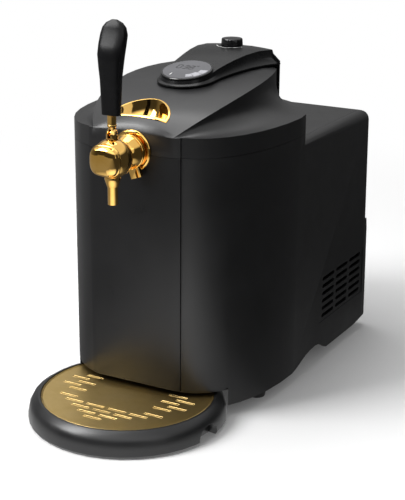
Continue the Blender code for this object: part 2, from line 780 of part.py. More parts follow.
def lid_form(distance, drop, bottom, cove_steps, steps):
    """The lid as one closed skin: rim, cove and tongue, or its hollow when moved inwards."""
    half = lid_half(distance)
    runs = [0.0]
    for first, second in zip(half, half[1:]):
        runs.append(runs[-1] + math.dist(first, second))
    shares = [run / runs[-1] for run in runs]
    rim_level = RIM_HEIGHT - drop
    ridge = []
    for index, share in enumerate(shares):
        x, y, rise = curve_values(ridge_controls(), share)
        if distance and index == 0:
            x, y, rise = half[0][0], half[0][1], 0.0
        elif distance:
            x, y = max(x - distance, distance), max(y, half[0][1] + distance * share)
        ridge.append((x, y, rim_level + rise))
    rows = []
    for x, y, z in ridge:
        rise = 0.0 if y <= half[0][1] + MERGE else crown_rise(y)
        row = []
        for k in range(steps + 1):
            across = 2 * k / steps - 1
            lift = (rim_level + rise - z) * (1 - across * across)
            row.append((x * across, y, z + max(lift, 0.0)))
        rows.append(row)
    top_ring = rows[0] + [row[-1] for row in rows[1:-1]] + rows[-1][::-1] + [row[0] for row in rows[-2:0:-1]]
    front = [(half[0][0] * (2 * k / steps - 1), half[0][1]) for k in range(steps + 1)]
    rear = [(half[-1][0] * (1 - 2 * k / steps), half[-1][1]) for k in range(steps + 1)]
    rim_plan = front + half[1:-1] + rear + [(-x, y) for x, y in half[-2:0:-1]]
    bm = bmesh.new()

    def ring(points):
        return [bm.verts.new(point) for point in points]

    rings = [ring(top_ring)]
    for step in range(1, cove_steps + 1):
        turn = math.pi / 2 * step / cove_steps
        out, down = (1 - math.cos(turn)) ** COVE_EXPONENT, math.sin(turn)
        rings.append(ring([(x + (u - x) * out, y + (v - y) * out, z + (rim_level - z) * down)
                           for (x, y, z), (u, v) in zip(top_ring, rim_plan)]))
    rings.append(ring(laid(rim_plan, bottom, "Z")))
    count = len(rim_plan)
    for high, low in zip(rings, rings[1:]):
        for k in range(count):
            after = (k + 1) % count
            bm.faces.new((low[k], low[after], high[after], high[k]))
    bm.faces.new(rings[-1])
    inner = [ring(row) for row in rows]
    for first, second in zip(inner, inner[1:]):
        for k in range(steps):
            bm.faces.new((first[k], first[k + 1], second[k + 1], second[k]))
    return closed(bm)


def add_lid():
    """The outer lid, hollow below, with its openings for scoop, console and tap."""
    lid = solid("lid_shell", lid_form(0.0, 0.0, LID_BOTTOM, COVE_STEPS, TONGUE_STEPS), SATIN_BLACK)
    cut(lid, lid_form(LID_WALL, LID_TOP_WALL, LID_BOTTOM - OVERRUN, COVE_STEPS - 2, TONGUE_STEPS - 4), "hollow")
    cut(lid, prism(scoop_outline(SEAT), SCOOP_FLOOR, RIM_HEIGHT + TONGUE_RISE), "scoop_opening")
    cut(lid, prism(console_plug(-SEAT), RIM_HEIGHT, RIM_HEIGHT + TONGUE_RISE + OVERRUN), "console_opening")
    half = REGULATOR_FLANGE_RADIUS + SLIDE_GAP
    low = CARTRIDGE_HEIGHT + CARTRIDGE_RADIUS - SLIDE_GAP
    cut(lid, block(-half, half, KNOB_SETBACK - half, CHORD_Y + OVERRUN, low, RIM_HEIGHT + TONGUE_RISE + OVERRUN),
        "regulator_notch")
    front, back = -DRUM_FRONT - OVERRUN, -WALL_FACE + OVERRUN
    cut(lid, rod(SADDLE_RADIUS, front, back, 24, "Y", (0, TAP_HEIGHT)), "saddle")
    return lid


# Finger scoop
def scoop_outline(grow=0.0):
    """The D-shaped opening of the scoop, straight along its lip."""
    lip = -SCOOP_LIP_SETOUT
    (x1, y1), (x2, y2), (x3, y3) = SCOOP_CORNER_shares
    start = (SCOOP_HALF_WIDTH * x1, lip + SCOOP_DEPTH_BACK * y1)
    right = bezier(start, (SCOOP_HALF_WIDTH * x2, lip + SCOOP_DEPTH_BACK * y2),
                   (SCOOP_HALF_WIDTH * x3 / 2, lip + SCOOP_DEPTH_BACK), (0, lip + SCOOP_DEPTH_BACK), 8)
    half = [(0, lip), (SCOOP_HALF_WIDTH / 2, lip), start] + right
    return inset(half + [(-x, y) for x, y in reversed(half[1:-1])], -grow)


def scoop_ring(shrink, depth_share, grow, proud):
    """One ring of the scoop's bowl, drawn in towards its lip as it gets deeper."""
    lip = -SCOOP_LIP_SETOUT
    ring = []
    for x, y in scoop_outline(grow):
        surface = tongue_height(x, y) + proud
        ring.append((x * (1 + shrink) / 2, lip + (y - lip) * shrink,
                     surface + (SCOOP_FLOOR - grow - surface) * depth_share))
    return ring


def add_scoop():
    """The plated lining of the scoop, hung in the lid by a thin brim."""
    turns = [math.radians(angle) for angle in (8, 30, 50, 66, 78)]
    outside = [scoop_ring(math.cos(a), math.sin(a), -SEAT, 0.0) for a in reversed(turns)]
    inside = [scoop_ring(math.cos(a), math.sin(a), -SCOOP_WALL, 0.0) for a in turns]
    brim = [scoop_ring(1.0, 0.0, -SEAT, SEAT), scoop_ring(1.0, 0.0, SCOOP_BRIM, SEAT),
            scoop_ring(1.0, 0.0, SCOOP_BRIM - SCOOP_WALL / 2, SCOOP_PROUD),
            scoop_ring(1.0, 0.0, -SCOOP_WALL, SCOOP_PROUD)]
    return solid("scoop_insert", loft(outside + brim + inside), GOLD)


# Console
def console_half(radius, half_width):
    """The right half of a console outline: round display head, then the spine to the rear."""
    head = arc((0, -DISPLAY_SETOUT), (radius, radius), -math.pi / 2, 0, 8)
    start, end = head[-1], (half_width, CONSOLE_REAR)
    run, rise = end[0] - start[0], end[1] - start[1]
    spine = bezier(start, (start[0], start[1] + rise / 4), (start[0] + run / 2, start[1] + rise / 2), end, 6)
    return head + spine + [(0, CONSOLE_REAR)]


def console_outline(radius, half_width):
    half = console_half(radius, half_width)
    return half + [(-x, y) for x, y in reversed(half[1:-1])]


def console_plug(shrink=0.0):
    """The part of the console that drops through the lid."""
    plug = console_outline(DISPLAY_RADIUS - CONSOLE_PLUG_INSET - shrink,
                           CONSOLE_TOP_HALF - CONSOLE_PLUG_INSET - shrink)
    rear = TONGUE_REAR - CONSOLE_PLUG_INSET - shrink
    return [(x, min(y, rear)) for x, y in plug]


def console_top(y):
    """Height of the console's top along its length."""
    front = -DISPLAY_SETOUT - DISPLAY_RADIUS
    low = DISPLAY_HEIGHT - DISPLAY_THICKNESS - SEAT - DISPLAY_RADIUS * math.tan(DISPLAY_TILT)
    along = [front + (CONSOLE_REAR - front) * share for share in CONSOLE_TOP_shares]
    rise = [low + CONSOLE_RISE * share for share in CONSOLE_RISE_shares]
    table = np.array([curve_values((along, rise), t) for t in CURVE_SAMPLES])
    return float(np.interp(y, table[:, 0], table[:, 1]))


def console_crown(y):
    """How far the middle of the console's top stands over its edges."""
    share = min(max((y - CONSOLE_CROWN_START) / (CONSOLE_CROWN_FULL - CONSOLE_CROWN_START), 0.0), 1.0)
    return CONSOLE_CROWN * share


def seated(y):
    """A place on the tongue, which ends before the console does."""
    return min(y, TONGUE_REAR)


def add_console():
    """The console cover with its rear leg, hollow below, open for display and knob."""
    foot = console_outline(DISPLAY_RADIUS + CONSOLE_FLARE, CONSOLE_FOOT_HALF)
    top = console_outline(DISPLAY_RADIUS + SEAT, CONSOLE_TOP_HALF)
    plug = console_plug()

    def over_tongue(outline, rise):
        return [(x, y, tongue_height(x, seated(y)) + rise) for x, y in outline]

    middle = []
    for (u, v), (x, y) in zip(foot, top):
        base = tongue_height(u, seated(v)) + CONSOLE_SHADOW_GAP
        middle.append((x + (u - x) / 4, y + (v - y) / 4, base + (console_top(y) - base) / 2))
    rings = [over_tongue(plug, -CONSOLE_PLUG_DEPTH), over_tongue(plug, CONSOLE_SHADOW_GAP),
             over_tongue(foot, CONSOLE_SHADOW_GAP), over_tongue(foot, CONSOLE_SHADOW_GAP * 2), middle,
             [(x, y, console_top(y)) for x, y in top]]
    for share in CONSOLE_CROWN_shares:
        rings.append([(x * share, y, console_top(y) + console_crown(y) * (1 - share * share)) for x, y in top])
    cover = solid("console_cover", loft(rings, ladder=True), SATIN_BLACK)
    leg_front = CHORD_Y + SEAT
    leg_rear = leg_front + CONSOLE_LEG_THICKNESS
    leg_top = console_top(CONSOLE_REAR) - CONSOLE_LEG_THICKNESS
    leg = [(CONSOLE_FOOT_HALF - SEAT, CONSOLE_LEG_BOTTOM), (CONSOLE_FOOT_HALF - SEAT, RIM_HEIGHT + TONGUE_RISE),
           (CONSOLE_TOP_HALF, leg_top)]
    leg = leg + [(-x, z) for x, z in reversed(leg)]
    add(cover, prism(leg, leg_front, leg_rear, "Y"), "leg")
    hollow = console_plug(CONSOLE_WALL)
    low = RIM_HEIGHT
    cut(cover, loft([laid(hollow, low, "Z"), [(x, y, console_top(y) - CONSOLE_WALL) for x, y in hollow]],
                    ladder=True), "hollow")
    room = REGULATOR_FLANGE_RADIUS + SLIDE_GAP
    cut(cover, rod(room, low, REGULATOR_CEILING + SEAT, 24, "Z", (0, KNOB_SETBACK)), "regulator_room")
    window = rod(DISPLAY_WINDOW_RADIUS, -OVERRUN * 2, OVERRUN * 2, 24)
    cut(cover, tilted(window, 0.0), "window")
    seat = rod(KNOB_RADIUS + SLIDE_GAP * 2, KNOB_SEAT_HEIGHT, KNOB_SEAT_HEIGHT + OVERRUN, 32, "Z", (0, KNOB_SETBACK))
    cut(cover, seat, "knob_seat")
    bore = rod(KNOB_STEM_RADIUS + SLIDE_GAP, RIM_HEIGHT, KNOB_SEAT_HEIGHT + OVERRUN, 12, "Z", (0, KNOB_SETBACK))
    cut(cover, bore, "knob_bore")
    return cover


def tilted(shape, rise):
    """A shape moved from the origin to the display's centre and leant towards the user."""
    lean = Matrix.Rotation(DISPLAY_TILT, 3, "X")
    bmesh.ops.translate(shape, verts=shape.verts, vec=(0, 0, rise))
    bmesh.ops.rotate(shape, verts=shape.verts, cent=(0, 0, 0), matrix=lean)
    bmesh.ops.translate(shape, verts=shape.verts, vec=(0, -DISPLAY_SETOUT, DISPLAY_HEIGHT))
    return shape


def add_display():
    """Bezel, glass and circuit board of the round display."""
    inner = DISPLAY_RADIUS - DISPLAY_RIM
    floor = DISPLAY_LENS_THICKNESS + SEAT
    bezel = [(DISPLAY_WINDOW_RADIUS, -DISPLAY_THICKNESS), (DISPLAY_RADIUS, -DISPLAY_THICKNESS),
             (DISPLAY_RADIUS, -DISPLAY_RIM / 3), (DISPLAY_RADIUS - DISPLAY_RIM / 3, 0), (inner, 0),
             (inner, -floor), (DISPLAY_WINDOW_RADIUS, -floor)]
    solid("display_bezel", tilted(turned(bezel, 32), 0.0), GLOSS_BLACK)
    solid("display_glass", tilted(rod(inner - SEAT, -DISPLAY_LENS_THICKNESS, 0, 32), 0.0), DISPLAY_GREY)
    board_top = -floor - SEAT
    radius = DISPLAY_WINDOW_RADIUS - SEAT
    board = rod(radius, board_top - DISPLAY_BOARD_DROP, board_top, 24)
    solid("display_board", tilted(board, 0.0), CIRCUIT)


def add_knob():
    """The gas pressure knob, fluted round its side, with the stem that turns the regulator."""
    low = KNOB_SEAT_HEIGHT + SEAT
    high = low + KNOB_HEIGHT
    steps = KNOB_FLUTES * 2

    def fluted(radius, depth):
        return [(r * math.cos(a), r * math.sin(a)) for r, a in
                ((radius - depth * (k % 2), math.tau * k / steps) for k in range(steps))]

    rings = [laid(fluted(KNOB_RADIUS, KNOB_FLUTE_DEPTH), low, "Z"),
             laid(fluted(KNOB_RADIUS - KNOB_FLUTE_DEPTH, KNOB_FLUTE_DEPTH), high - KNOB_EDGE, "Z"),
             laid(fluted(KNOB_RADIUS - KNOB_EDGE, 0.0), high, "Z")]
    knob = solid("pressure_knob", loft(rings), GLOSS_BLACK)
    knob.data.transform(Matrix.Translation((0, KNOB_SETBACK, 0)))
    stem = rod(KNOB_STEM_RADIUS, low - KNOB_STEM_LENGTH, low + KNOB_HEIGHT / 2, 12, "Z", (0, KNOB_SETBACK))
    add(knob, stem, "stem")
    origin_at(knob, (0, KNOB_SETBACK, low))


def add_gas_unit():
    """Pressure regulator below the knob and the holder for the gas cartridge below it."""
    top = REGULATOR_CEILING
    bore = KNOB_STEM_RADIUS + SLIDE_GAP
    bottom = CARTRIDGE_HEIGHT + CARTRIDGE_RADIUS + SEAT
    well = top - KNOB_STEM_LENGTH
    profile = [(0, bottom), (REGULATOR_RADIUS - BORE_STEP, bottom), (REGULATOR_RADIUS, bottom + BORE_STEP),
               (REGULATOR_RADIUS, top - REGULATOR_FLANGE), (REGULATOR_FLANGE_RADIUS, top - REGULATOR_FLANGE),
               (REGULATOR_FLANGE_RADIUS, top), (bore, top), (bore, well), (0, well)]
    solid("pressure_regulator", turned(profile, 18, "Z", (0, KNOB_SETBACK, 0)), BRASS)
    inner = CARTRIDGE_RADIUS - BORE_STEP
    reach = CARTRIDGE_HALF_LENGTH
    sleeve = [(0, -reach), (CARTRIDGE_RADIUS, -reach), (CARTRIDGE_RADIUS, reach), (inner, reach),
              (inner, BORE_STEP - reach), (0, BORE_STEP - reach)]
    centre = (0, CARTRIDGE_SETBACK, CARTRIDGE_HEIGHT)
    solid("cartridge_holder", turned(sleeve, 18, "X", centre), GREY_PLASTIC)
    cap_start = reach + SEAT
    cap = [(0, cap_start), (CARTRIDGE_RADIUS - SEAT, cap_start), (CARTRIDGE_RADIUS - SEAT, cap_start + BORE_STEP),
           (CARTRIDGE_CAP_RADIUS - BORE_STEP, reach + CARTRIDGE_CAP_LENGTH), (0, reach + CARTRIDGE_CAP_LENGTH)]
    solid("cartridge_cap", turned(cap, 18, "X", centre), BRASS)


def add_lid_pan():
    """Inner pan of the lid, domed over the keg's coupler, with the seal under it."""
    low, high = PAN_HEIGHT, PAN_HEIGHT + PAN_THICKNESS
    pan = solid("lid_pan", prism(drum_outline(LID_WALL + SEAT), low, high), GREY_PLASTIC)
    outer = [(0, low), (PAN_DOME_RADIUS, low), (PAN_WALL_TOP_RADIUS, PAN_WALL_TOP),
             (PAN_DOME_TOP_RADIUS, PAN_DOME_TOP), (0, PAN_DOME_TOP)]
    add(pan, turned(outer, 24), "dome")
    thin = PAN_THICKNESS
    inner = [(0, low - OVERRUN), (PAN_DOME_RADIUS - thin, low - OVERRUN), (PAN_DOME_RADIUS - thin, low),
             (PAN_WALL_TOP_RADIUS - thin, PAN_WALL_TOP - thin), (PAN_DOME_TOP_RADIUS - thin, PAN_DOME_TOP - thin),
             (0, PAN_DOME_TOP - thin)]
    cut(pan, turned(inner, 24), "hollow")
    half = NUT_RADIUS + SLIDE_GAP * 2
    back = NUT_THICKNESS * 2
    cut(pan, block(-half, half, -DRUM_FRONT, back - WALL_FACE, low - OVERRUN, high + OVERRUN), "nut_notch")
    tunnel, inner_end = PAN_TUNNEL_HALF, SHANK_TAIL - BARB_LENGTH - OVERRUN
    cut(pan, block(-tunnel, tunnel, -DRUM_FRONT - OVERRUN, -inner_end, low - OVERRUN * 2, TAP_HEIGHT + tunnel),
        "tap_tunnel")
    outer_radius = SEAL_INNER + SEAL_WIDTH
    seal_low, seal_high = WELL_RIM + SEAT, low - SEAT
    seal = [(SEAL_INNER, seal_low), (outer_radius, seal_low), (outer_radius, seal_high), (SEAL_INNER, seal_high)]
    ring = solid("lid_seal", turned(seal, 32), SILICONE)
    half = BARB_RADIUS + SLIDE_GAP
    cut(ring, block(-half, half, -SHANK_TAIL, OVERRUN - SEAL_INNER, seal_low - OVERRUN, seal_high + OVERRUN),
        "tap_gap")


# Hinge
def barrel(low, high):
    return rod(HINGE_BARREL_RADIUS, low, high, 10, "X", (HINGE_Y, HINGE_Z))


def add_hinge():
    """Bracket on the deck, leaf on the lid and the pin through both."""
    deck = BOX_TOP + SEAT
    ear_start = HINGE_LEAF_HALF + SEAT
    ear_end = ear_start + HINGE_EAR_LENGTH
    front = HINGE_Y - HINGE_BARREL_RADIUS
    plate = block(-ear_end, ear_end, front, BRACKET_REAR, deck, deck + HINGE_PLATE)
    bracket = solid("hinge_bracket", plate, STEEL)
    for side, name in ((-1, "left"), (1, "right")):
        low, high = sorted((side * ear_start, side * ear_end))
        web = block(low, high, HINGE_Y - HINGE_BARREL_RADIUS + SEAT, HINGE_Y + HINGE_BARREL_RADIUS - SEAT,
                    deck + HINGE_PLATE / 2, HINGE_Z)
        add(bracket, web, f"web_{name}")
        add(bracket, barrel(low, high), f"barrel_{name}")
    bore = HINGE_PIN_RADIUS + HINGE_PIN_GAP
    cut(bracket, rod(bore, -ear_end - OVERRUN, ear_end + OVERRUN, 10, "X", (HINGE_Y, HINGE_Z)), "bore")
    relief = HINGE_BARREL_RADIUS + SLIDE_GAP
    cut(bracket, rod(relief, -HINGE_LEAF_HALF - SEAT, HINGE_LEAF_HALF + SEAT, 12, "X", (HINGE_Y, HINGE_Z)),
        "leaf_relief")
    for name, place in hinge_screw_places().items():
        cut(bracket, rod(SCREW_RADIUS + SCREW_GAP, deck - OVERRUN, deck + OVERRUN, 10, "Z", place), f"hole_{name}")
    leaf_front = CONSOLE_REAR + SEAT * 2
    leaf = solid("hinge_leaf", barrel(-HINGE_LEAF_HALF, HINGE_LEAF_HALF), STEEL)
    add(leaf, block(SEAT - HINGE_LEAF_HALF, HINGE_LEAF_HALF - SEAT, leaf_front, leaf_front + HINGE_PLATE,
                    HINGE_Z, HINGE_LEAF_TOP), "plate")
    cut(leaf, rod(bore, -ear_end, ear_end, 10, "X", (HINGE_Y, HINGE_Z)), "bore")
    origin_at(leaf, (0, HINGE_Y, HINGE_Z))
    solid("hinge_pin", rod(HINGE_PIN_RADIUS, -ear_end, ear_end, 10, "X", (HINGE_Y, HINGE_Z)), STEEL)


def hinge_screw_places():
    """The two screws of the hinge bracket by name."""
    x = HINGE_LEAF_HALF + HINGE_EAR_LENGTH / 2
    y = BRACKET_REAR - SCREW_HEAD_RADIUS - SLIDE_GAP * 2
    return {"left": (-x, y), "right": (x, y)}


# Housing
def add_housing():
    """Outer moulding of drum and box, open below, on top of the drum and at deck and back."""
    shell = solid("body_shell", box_form(0.0, SHELL_BOTTOM), SATIN_BLACK)
    add(shell, bulge_form(), "bulge")
    add(shell, prism(drum_outline(), SHELL_BOTTOM, SPLIT_HEIGHT), "drum")
    floor = FOAM_BOTTOM
    cut(shell, prism(drum_outline(SHELL_WALL), floor, SPLIT_HEIGHT + OVERRUN), "drum_hollow")
    hollow = cut(shell, box_form(SHELL_WALL, floor), "box_hollow")
    cut(hollow, prism(drum_outline(), floor - OVERRUN, SPLIT_HEIGHT + OVERRUN), "drum")
    cut(shell, prism(housing_outline(SHELL_WALL), SHELL_BOTTOM - OVERRUN, floor), "under_floor")
    cut(shell, rod(TRAY_RADIUS + SLIDE_GAP * 2, SHELL_BOTTOM - OVERRUN, PANEL_BOTTOM, 40, "Z",
                   (0, -TRAY_SETOUT)), "tray_bay")
    arch_low = SHELL_BOTTOM - OVERRUN
    up = ARCH_HEIGHT - SHELL_BOTTOM
    span, fall = ARCH_PEAK - ARCH_START, ARCH_END - ARCH_PEAK
    arch = [(ARCH_START, arch_low), (ARCH_START, SHELL_BOTTOM)]
    arch += bezier(arch[-1], (ARCH_START + span / 3, SHELL_BOTTOM + up / 5),
                   (ARCH_START + span / 2, ARCH_HEIGHT), (ARCH_PEAK, ARCH_HEIGHT), 6)
    arch += bezier(arch[-1], (ARCH_PEAK + fall / 2, ARCH_HEIGHT), (ARCH_END - fall / 3, SHELL_BOTTOM + up / 6),
                   (ARCH_END, SHELL_BOTTOM), 5)
    arch.append((ARCH_END, arch_low))
    reach = BOX_HALF_WIDTH + OVERRUN
    cut(shell, prism(arch, -reach, reach, "X"), "side_arch")
    tail = [(TAIL_RISE_START, SHELL_BOTTOM - SEAT), (BULGE_REAR, SHELL_BOTTOM + TAIL_RISE),
            (BULGE_REAR + OVERRUN, SHELL_BOTTOM + TAIL_RISE), (BULGE_REAR + OVERRUN, SHELL_BOTTOM - OVERRUN),
            (TAIL_RISE_START, SHELL_BOTTOM - OVERRUN)]
    cut(shell, prism(tail, -reach, reach, "X"), "tail_rise")
    cut(shell, rod(SADDLE_RADIUS, -BODY_FRONT - OVERRUN, OVERRUN - WALL_FACE, 24, "Y", (0, TAP_HEIGHT)), "saddle")
    half = COLD_BLOCK_HALF + SLIDE_GAP
    wall = CHORD_Y - SHELL_WALL
    cut(shell, block(-half, half, wall - OVERRUN, CHORD_Y + OVERRUN, COOLER_HEIGHT - half, COOLER_HEIGHT + half),
        "cold_window")
    cut_deck(shell)
    cut_vents(shell)
    cut_rear_opening(shell)
    return shell


def deck_outline(margin):
    half, rear = DECK_HALF_WIDTH - margin, BOX_REAR - DECK_REAR_MARGIN - margin
    return rectangle(-half, half, DRUM_WIDEST_SETBACK, rear)


def cut_deck(shell):
    """The opening on top of the box and the rebate that carries the deck panel."""
    rebate_floor = BOX_TOP - DECK_THICKNESS - SEAT
    rebate = cut(shell, prism(deck_outline(-SEAT), rebate_floor, BOX_TOP + OVERRUN), "deck_rebate")
    cut(rebate, prism(drum_outline(-SEAT), rebate_floor - OVERRUN, SPLIT_HEIGHT + OVERRUN), "drum")
    opening = cut(shell, prism(deck_outline(DECK_LEDGE), rebate_floor - SHELL_WALL - OVERRUN, BOX_TOP), "deck_opening")
    cut(opening, prism(drum_outline(-DECK_LEDGE), rebate_floor - OVERRUN * 2, SPLIT_HEIGHT + OVERRUN), "drum")


def add_deck():
    """The flat panel let into the top of the box, carrying the hinge."""
    panel = solid("deck_panel", prism(deck_outline(0.0), BOX_TOP - DECK_THICKNESS, BOX_TOP), SATIN_BLACK)
    cut(panel, prism(drum_outline(-SEAT * 2), BOX_TOP - DECK_THICKNESS - OVERRUN, SPLIT_HEIGHT), "drum")
    for name, place in hinge_screw_places().items():
        cut(panel, rod(SCREW_RADIUS + SCREW_GAP, BOX_TOP - DECK_THICKNESS - OVERRUN, BOX_TOP + OVERRUN, 10, "Z",
                       place), f"hole_{name}")


def cut_vents(shell):
    """Rows of air slots low on both sides, in a shallow field."""
    for side, name in ((1, "right"), (-1, "left")):
        outer, inner = side * (BOX_HALF_WIDTH + OVERRUN), side * (BOX_HALF_WIDTH - SHELL_WALL - OVERRUN)
        low, high = sorted((outer, inner))
        slots = []
        for column in range(VENT_COLUMNS):
            y = VENT_CENTRE_Y + VENT_COLUMN_PITCH * (column - (VENT_COLUMNS - 1) / 2)
            for row in range(VENT_ROWS):
                z = VENT_TOP_ROW - VENT_ROW_PITCH * row
                slots.append(prism(stadium(VENT_LENGTH / 2, VENT_HEIGHT / 2, (y, z)), low, high, "X"))
        half = VENT_COLUMN_PITCH * (VENT_COLUMNS - 1) / 2 + VENT_LENGTH / 2 + VENT_FIELD_MARGIN
        low, high = sorted((outer, side * (BOX_HALF_WIDTH - VENT_FIELD_DEPTH)))
        bottom = VENT_TOP_ROW - VENT_ROW_PITCH * (VENT_ROWS - 1) - VENT_FIELD_MARGIN
        field = block(low, high, VENT_CENTRE_Y - half, VENT_CENTRE_Y + half, bottom,
                      VENT_TOP_ROW + VENT_FIELD_MARGIN)
        for corner in field.verts:
            back = (corner.co.y - BOX_START) / (BOX_REAR - BOX_EDGE_RADIUS - BOX_START)
            corner.co.x += side * (box_half(corner.co.z, back) - BOX_HALF_WIDTH)
        cut(shell, field, f"vent_field_{name}")
        cut(shell, merged(*slots), f"vents_{name}")


def cover_outline(margin):
    """Rounded outline of the rear cover."""
    half, radius = COVER_HALF_WIDTH - margin, COVER_CORNER_RADIUS
    low, high = COVER_BOTTOM + margin, COVER_TOP - margin
    points = []
    for x, z, first in ((half - radius, high - radius, 0), (radius - half, high - radius, math.pi / 2),
                        (radius - half, low + radius, math.pi), (half - radius, low + radius, -math.pi / 2)):
        points += arc((x, z), (radius, radius), first, first + math.pi / 2, 2)
    return points


def cut_rear_opening(shell):
    """Rebate and opening in the bulge of the back for the rear cover."""
    face = BULGE_REAR
    floor = face - COVER_THICKNESS - SEAT
    cut(shell, prism(cover_outline(-SEAT), floor, face + OVERRUN, "Y"), "cover_rebate")
    cut(shell, prism(cover_outline(COVER_LEDGE), BOX_REAR - SHELL_WALL - OVERRUN, face, "Y"), "cover_opening")
    for name, place in cover_screw_places().items():
        cut(shell, rod(SCREW_RADIUS + SCREW_GAP, floor - SCREW_LENGTH, face, 10, "Y", place), f"hole_{name}")


def cover_screw_places():
    """The four corner screws of the rear cover by name."""
    x = COVER_HALF_WIDTH - COVER_SCREW_MARGIN
    low, high = COVER_BOTTOM + COVER_SCREW_MARGIN, COVER_TOP - COVER_SCREW_MARGIN
    return {"lower_left": (-x, low), "lower_right": (x, low), "upper_left": (-x, high), "upper_right": (x, high)}


def add_rear_cover():
    """Rear cover with its air slots and the mains inlet let into it."""
    face, back = BULGE_REAR, BULGE_REAR - COVER_THICKNESS
    cover = solid("rear_cover", prism(cover_outline(0.0), back, face, "Y"), SATIN_BLACK)
    slots = []
    for row in range(COVER_SLOTS):
        z = COVER_SLOT_BOTTOM + COVER_SLOT_PITCH * row
        for side in (-1, 1):
            x = COVER_SLOT_CENTRE_X + side * (COVER_SLOT_HALF_LENGTH + COVER_SLOT_HEIGHT) / 2
            half = COVER_SLOT_HALF_LENGTH / 2
            outline = rectangle(x - half, x + half, z - COVER_SLOT_HEIGHT / 2, z + COVER_SLOT_HEIGHT / 2)
            slots.append(prism(outline, back - OVERRUN, face + OVERRUN, "Y"))
    cut(cover, merged(*slots), "slots")
    wide, tall = INLET_HALF_WIDTH + SEAT, INLET_HALF_HEIGHT + SEAT
    cut(cover, block(INLET_X - wide, INLET_X + wide, back - OVERRUN, face + OVERRUN, INLET_Z - tall, INLET_Z + tall),
        "inlet_opening")
    for name, place in cover_screw_places().items():
        cut(cover, rod(SCREW_RADIUS + SCREW_GAP, back - OVERRUN, face + OVERRUN, 10, "Y", place), f"hole_{name}")
    add_inlet(back)


def add_inlet(back):
    """Three-pin mains inlet, flanged against the inside of the rear cover."""
    x_low, x_high = INLET_X - INLET_HALF_WIDTH, INLET_X + INLET_HALF_WIDTH
    z_low, z_high = INLET_Z - INLET_HALF_HEIGHT, INLET_Z + INLET_HALF_HEIGHT
    front = BULGE_REAR - INLET_DEPTH
    inlet = solid("mains_inlet", block(x_low, x_high, front, BULGE_REAR + SEAT, z_low, z_high), GLOSS_BLACK)
    add(inlet, block(x_low - INLET_FLANGE, x_high + INLET_FLANGE, back - SEAT - INLET_FLANGE, back - SEAT,
                     z_low - INLET_FLANGE, z_high + INLET_FLANGE), "flange")
    wall, floor = INLET_WALL, BULGE_REAR - INLET_SOCKET_DEPTH
    cut(inlet, block(x_low + wall, x_high - wall, floor, BULGE_REAR + OVERRUN, z_low + wall, z_high - wall), "socket")
    for number, x in enumerate((-INLET_PIN_SPACING, 0.0, INLET_PIN_SPACING)):
        centre = INLET_X + x
        add(inlet, block(centre - INLET_PIN, centre + INLET_PIN, floor - INLET_PIN, BULGE_REAR - INLET_WALL,
                         INLET_Z - INLET_PIN * 2, INLET_Z + INLET_PIN * 2), f"pin_{number}")


def add_front_panel():
    """Glossy front panel with a bevelled strip down each side and the saddle for the tap."""
    back = -(BODY_FRONT + SEAT)
    half = [(PANEL_FLAT_HALF, -DRUM_FRONT), (PANEL_EDGE, STRIP_DEPTH - DRUM_FRONT), (PANEL_EDGE, back)]
    outline = half + [(-x, y) for x, y in reversed(half)]
    panel = solid("front_panel", prism(outline, PANEL_BOTTOM, SPLIT_HEIGHT), GLOSS_BLACK, smooth=False)
    cut(panel, rod(SADDLE_RADIUS, -DRUM_FRONT - OVERRUN, back + OVERRUN, 24, "Y", (0, TAP_HEIGHT)), "saddle")


# Base
def foot_places():
    """The middle of each foot by name."""
    return {"front_left": (-FOOT_FRONT_X, FOOT_FRONT_Y), "front_right": (FOOT_FRONT_X, FOOT_FRONT_Y),
            "rear_left": (-FOOT_REAR_X, FOOT_REAR_Y), "rear_right": (FOOT_REAR_X, FOOT_REAR_Y)}


def add_base():
    """Base plate with foot bosses and the guides of the drip tray, and the rubber feet."""
    plate = solid("base_plate", prism(housing_outline(SHELL_WALL + SEAT), BASE_BOTTOM, BASE_TOP), SATIN_BLACK)
    boss_low = FOOT_HEIGHT + SEAT
    profile = [(0, 0), (FOOT_RADIUS - FOOT_TAPER, 0), (FOOT_RADIUS, FOOT_HEIGHT), (0, FOOT_HEIGHT)]
    for name, place in foot_places().items():
        add(plate, rod(FOOT_BOSS_RADIUS, boss_low, BASE_BOTTOM + BASE_THICKNESS / 2, 16, "Z", place), f"boss_{name}")
        solid(f"rubber_foot_{name}", turned(profile, 16, "Z", (*place, 0)), RUBBER)
    guide_low = BASE_BOTTOM - TRAY_GUIDE_DEPTH
    for side, name in ((-1, "left"), (1, "right")):
        near = TRAY_TONGUE_HALF + SLIDE_GAP
        low, high = sorted((side * near, side * (near + TRAY_GUIDE_THICKNESS)))
        add(plate, block(low, high, TRAY_RADIUS - TRAY_SETOUT + SLIDE_GAP * 2, TRAY_GUIDE_REAR, guide_low,
                         BASE_BOTTOM + BASE_THICKNESS / 2), f"guide_{name}")


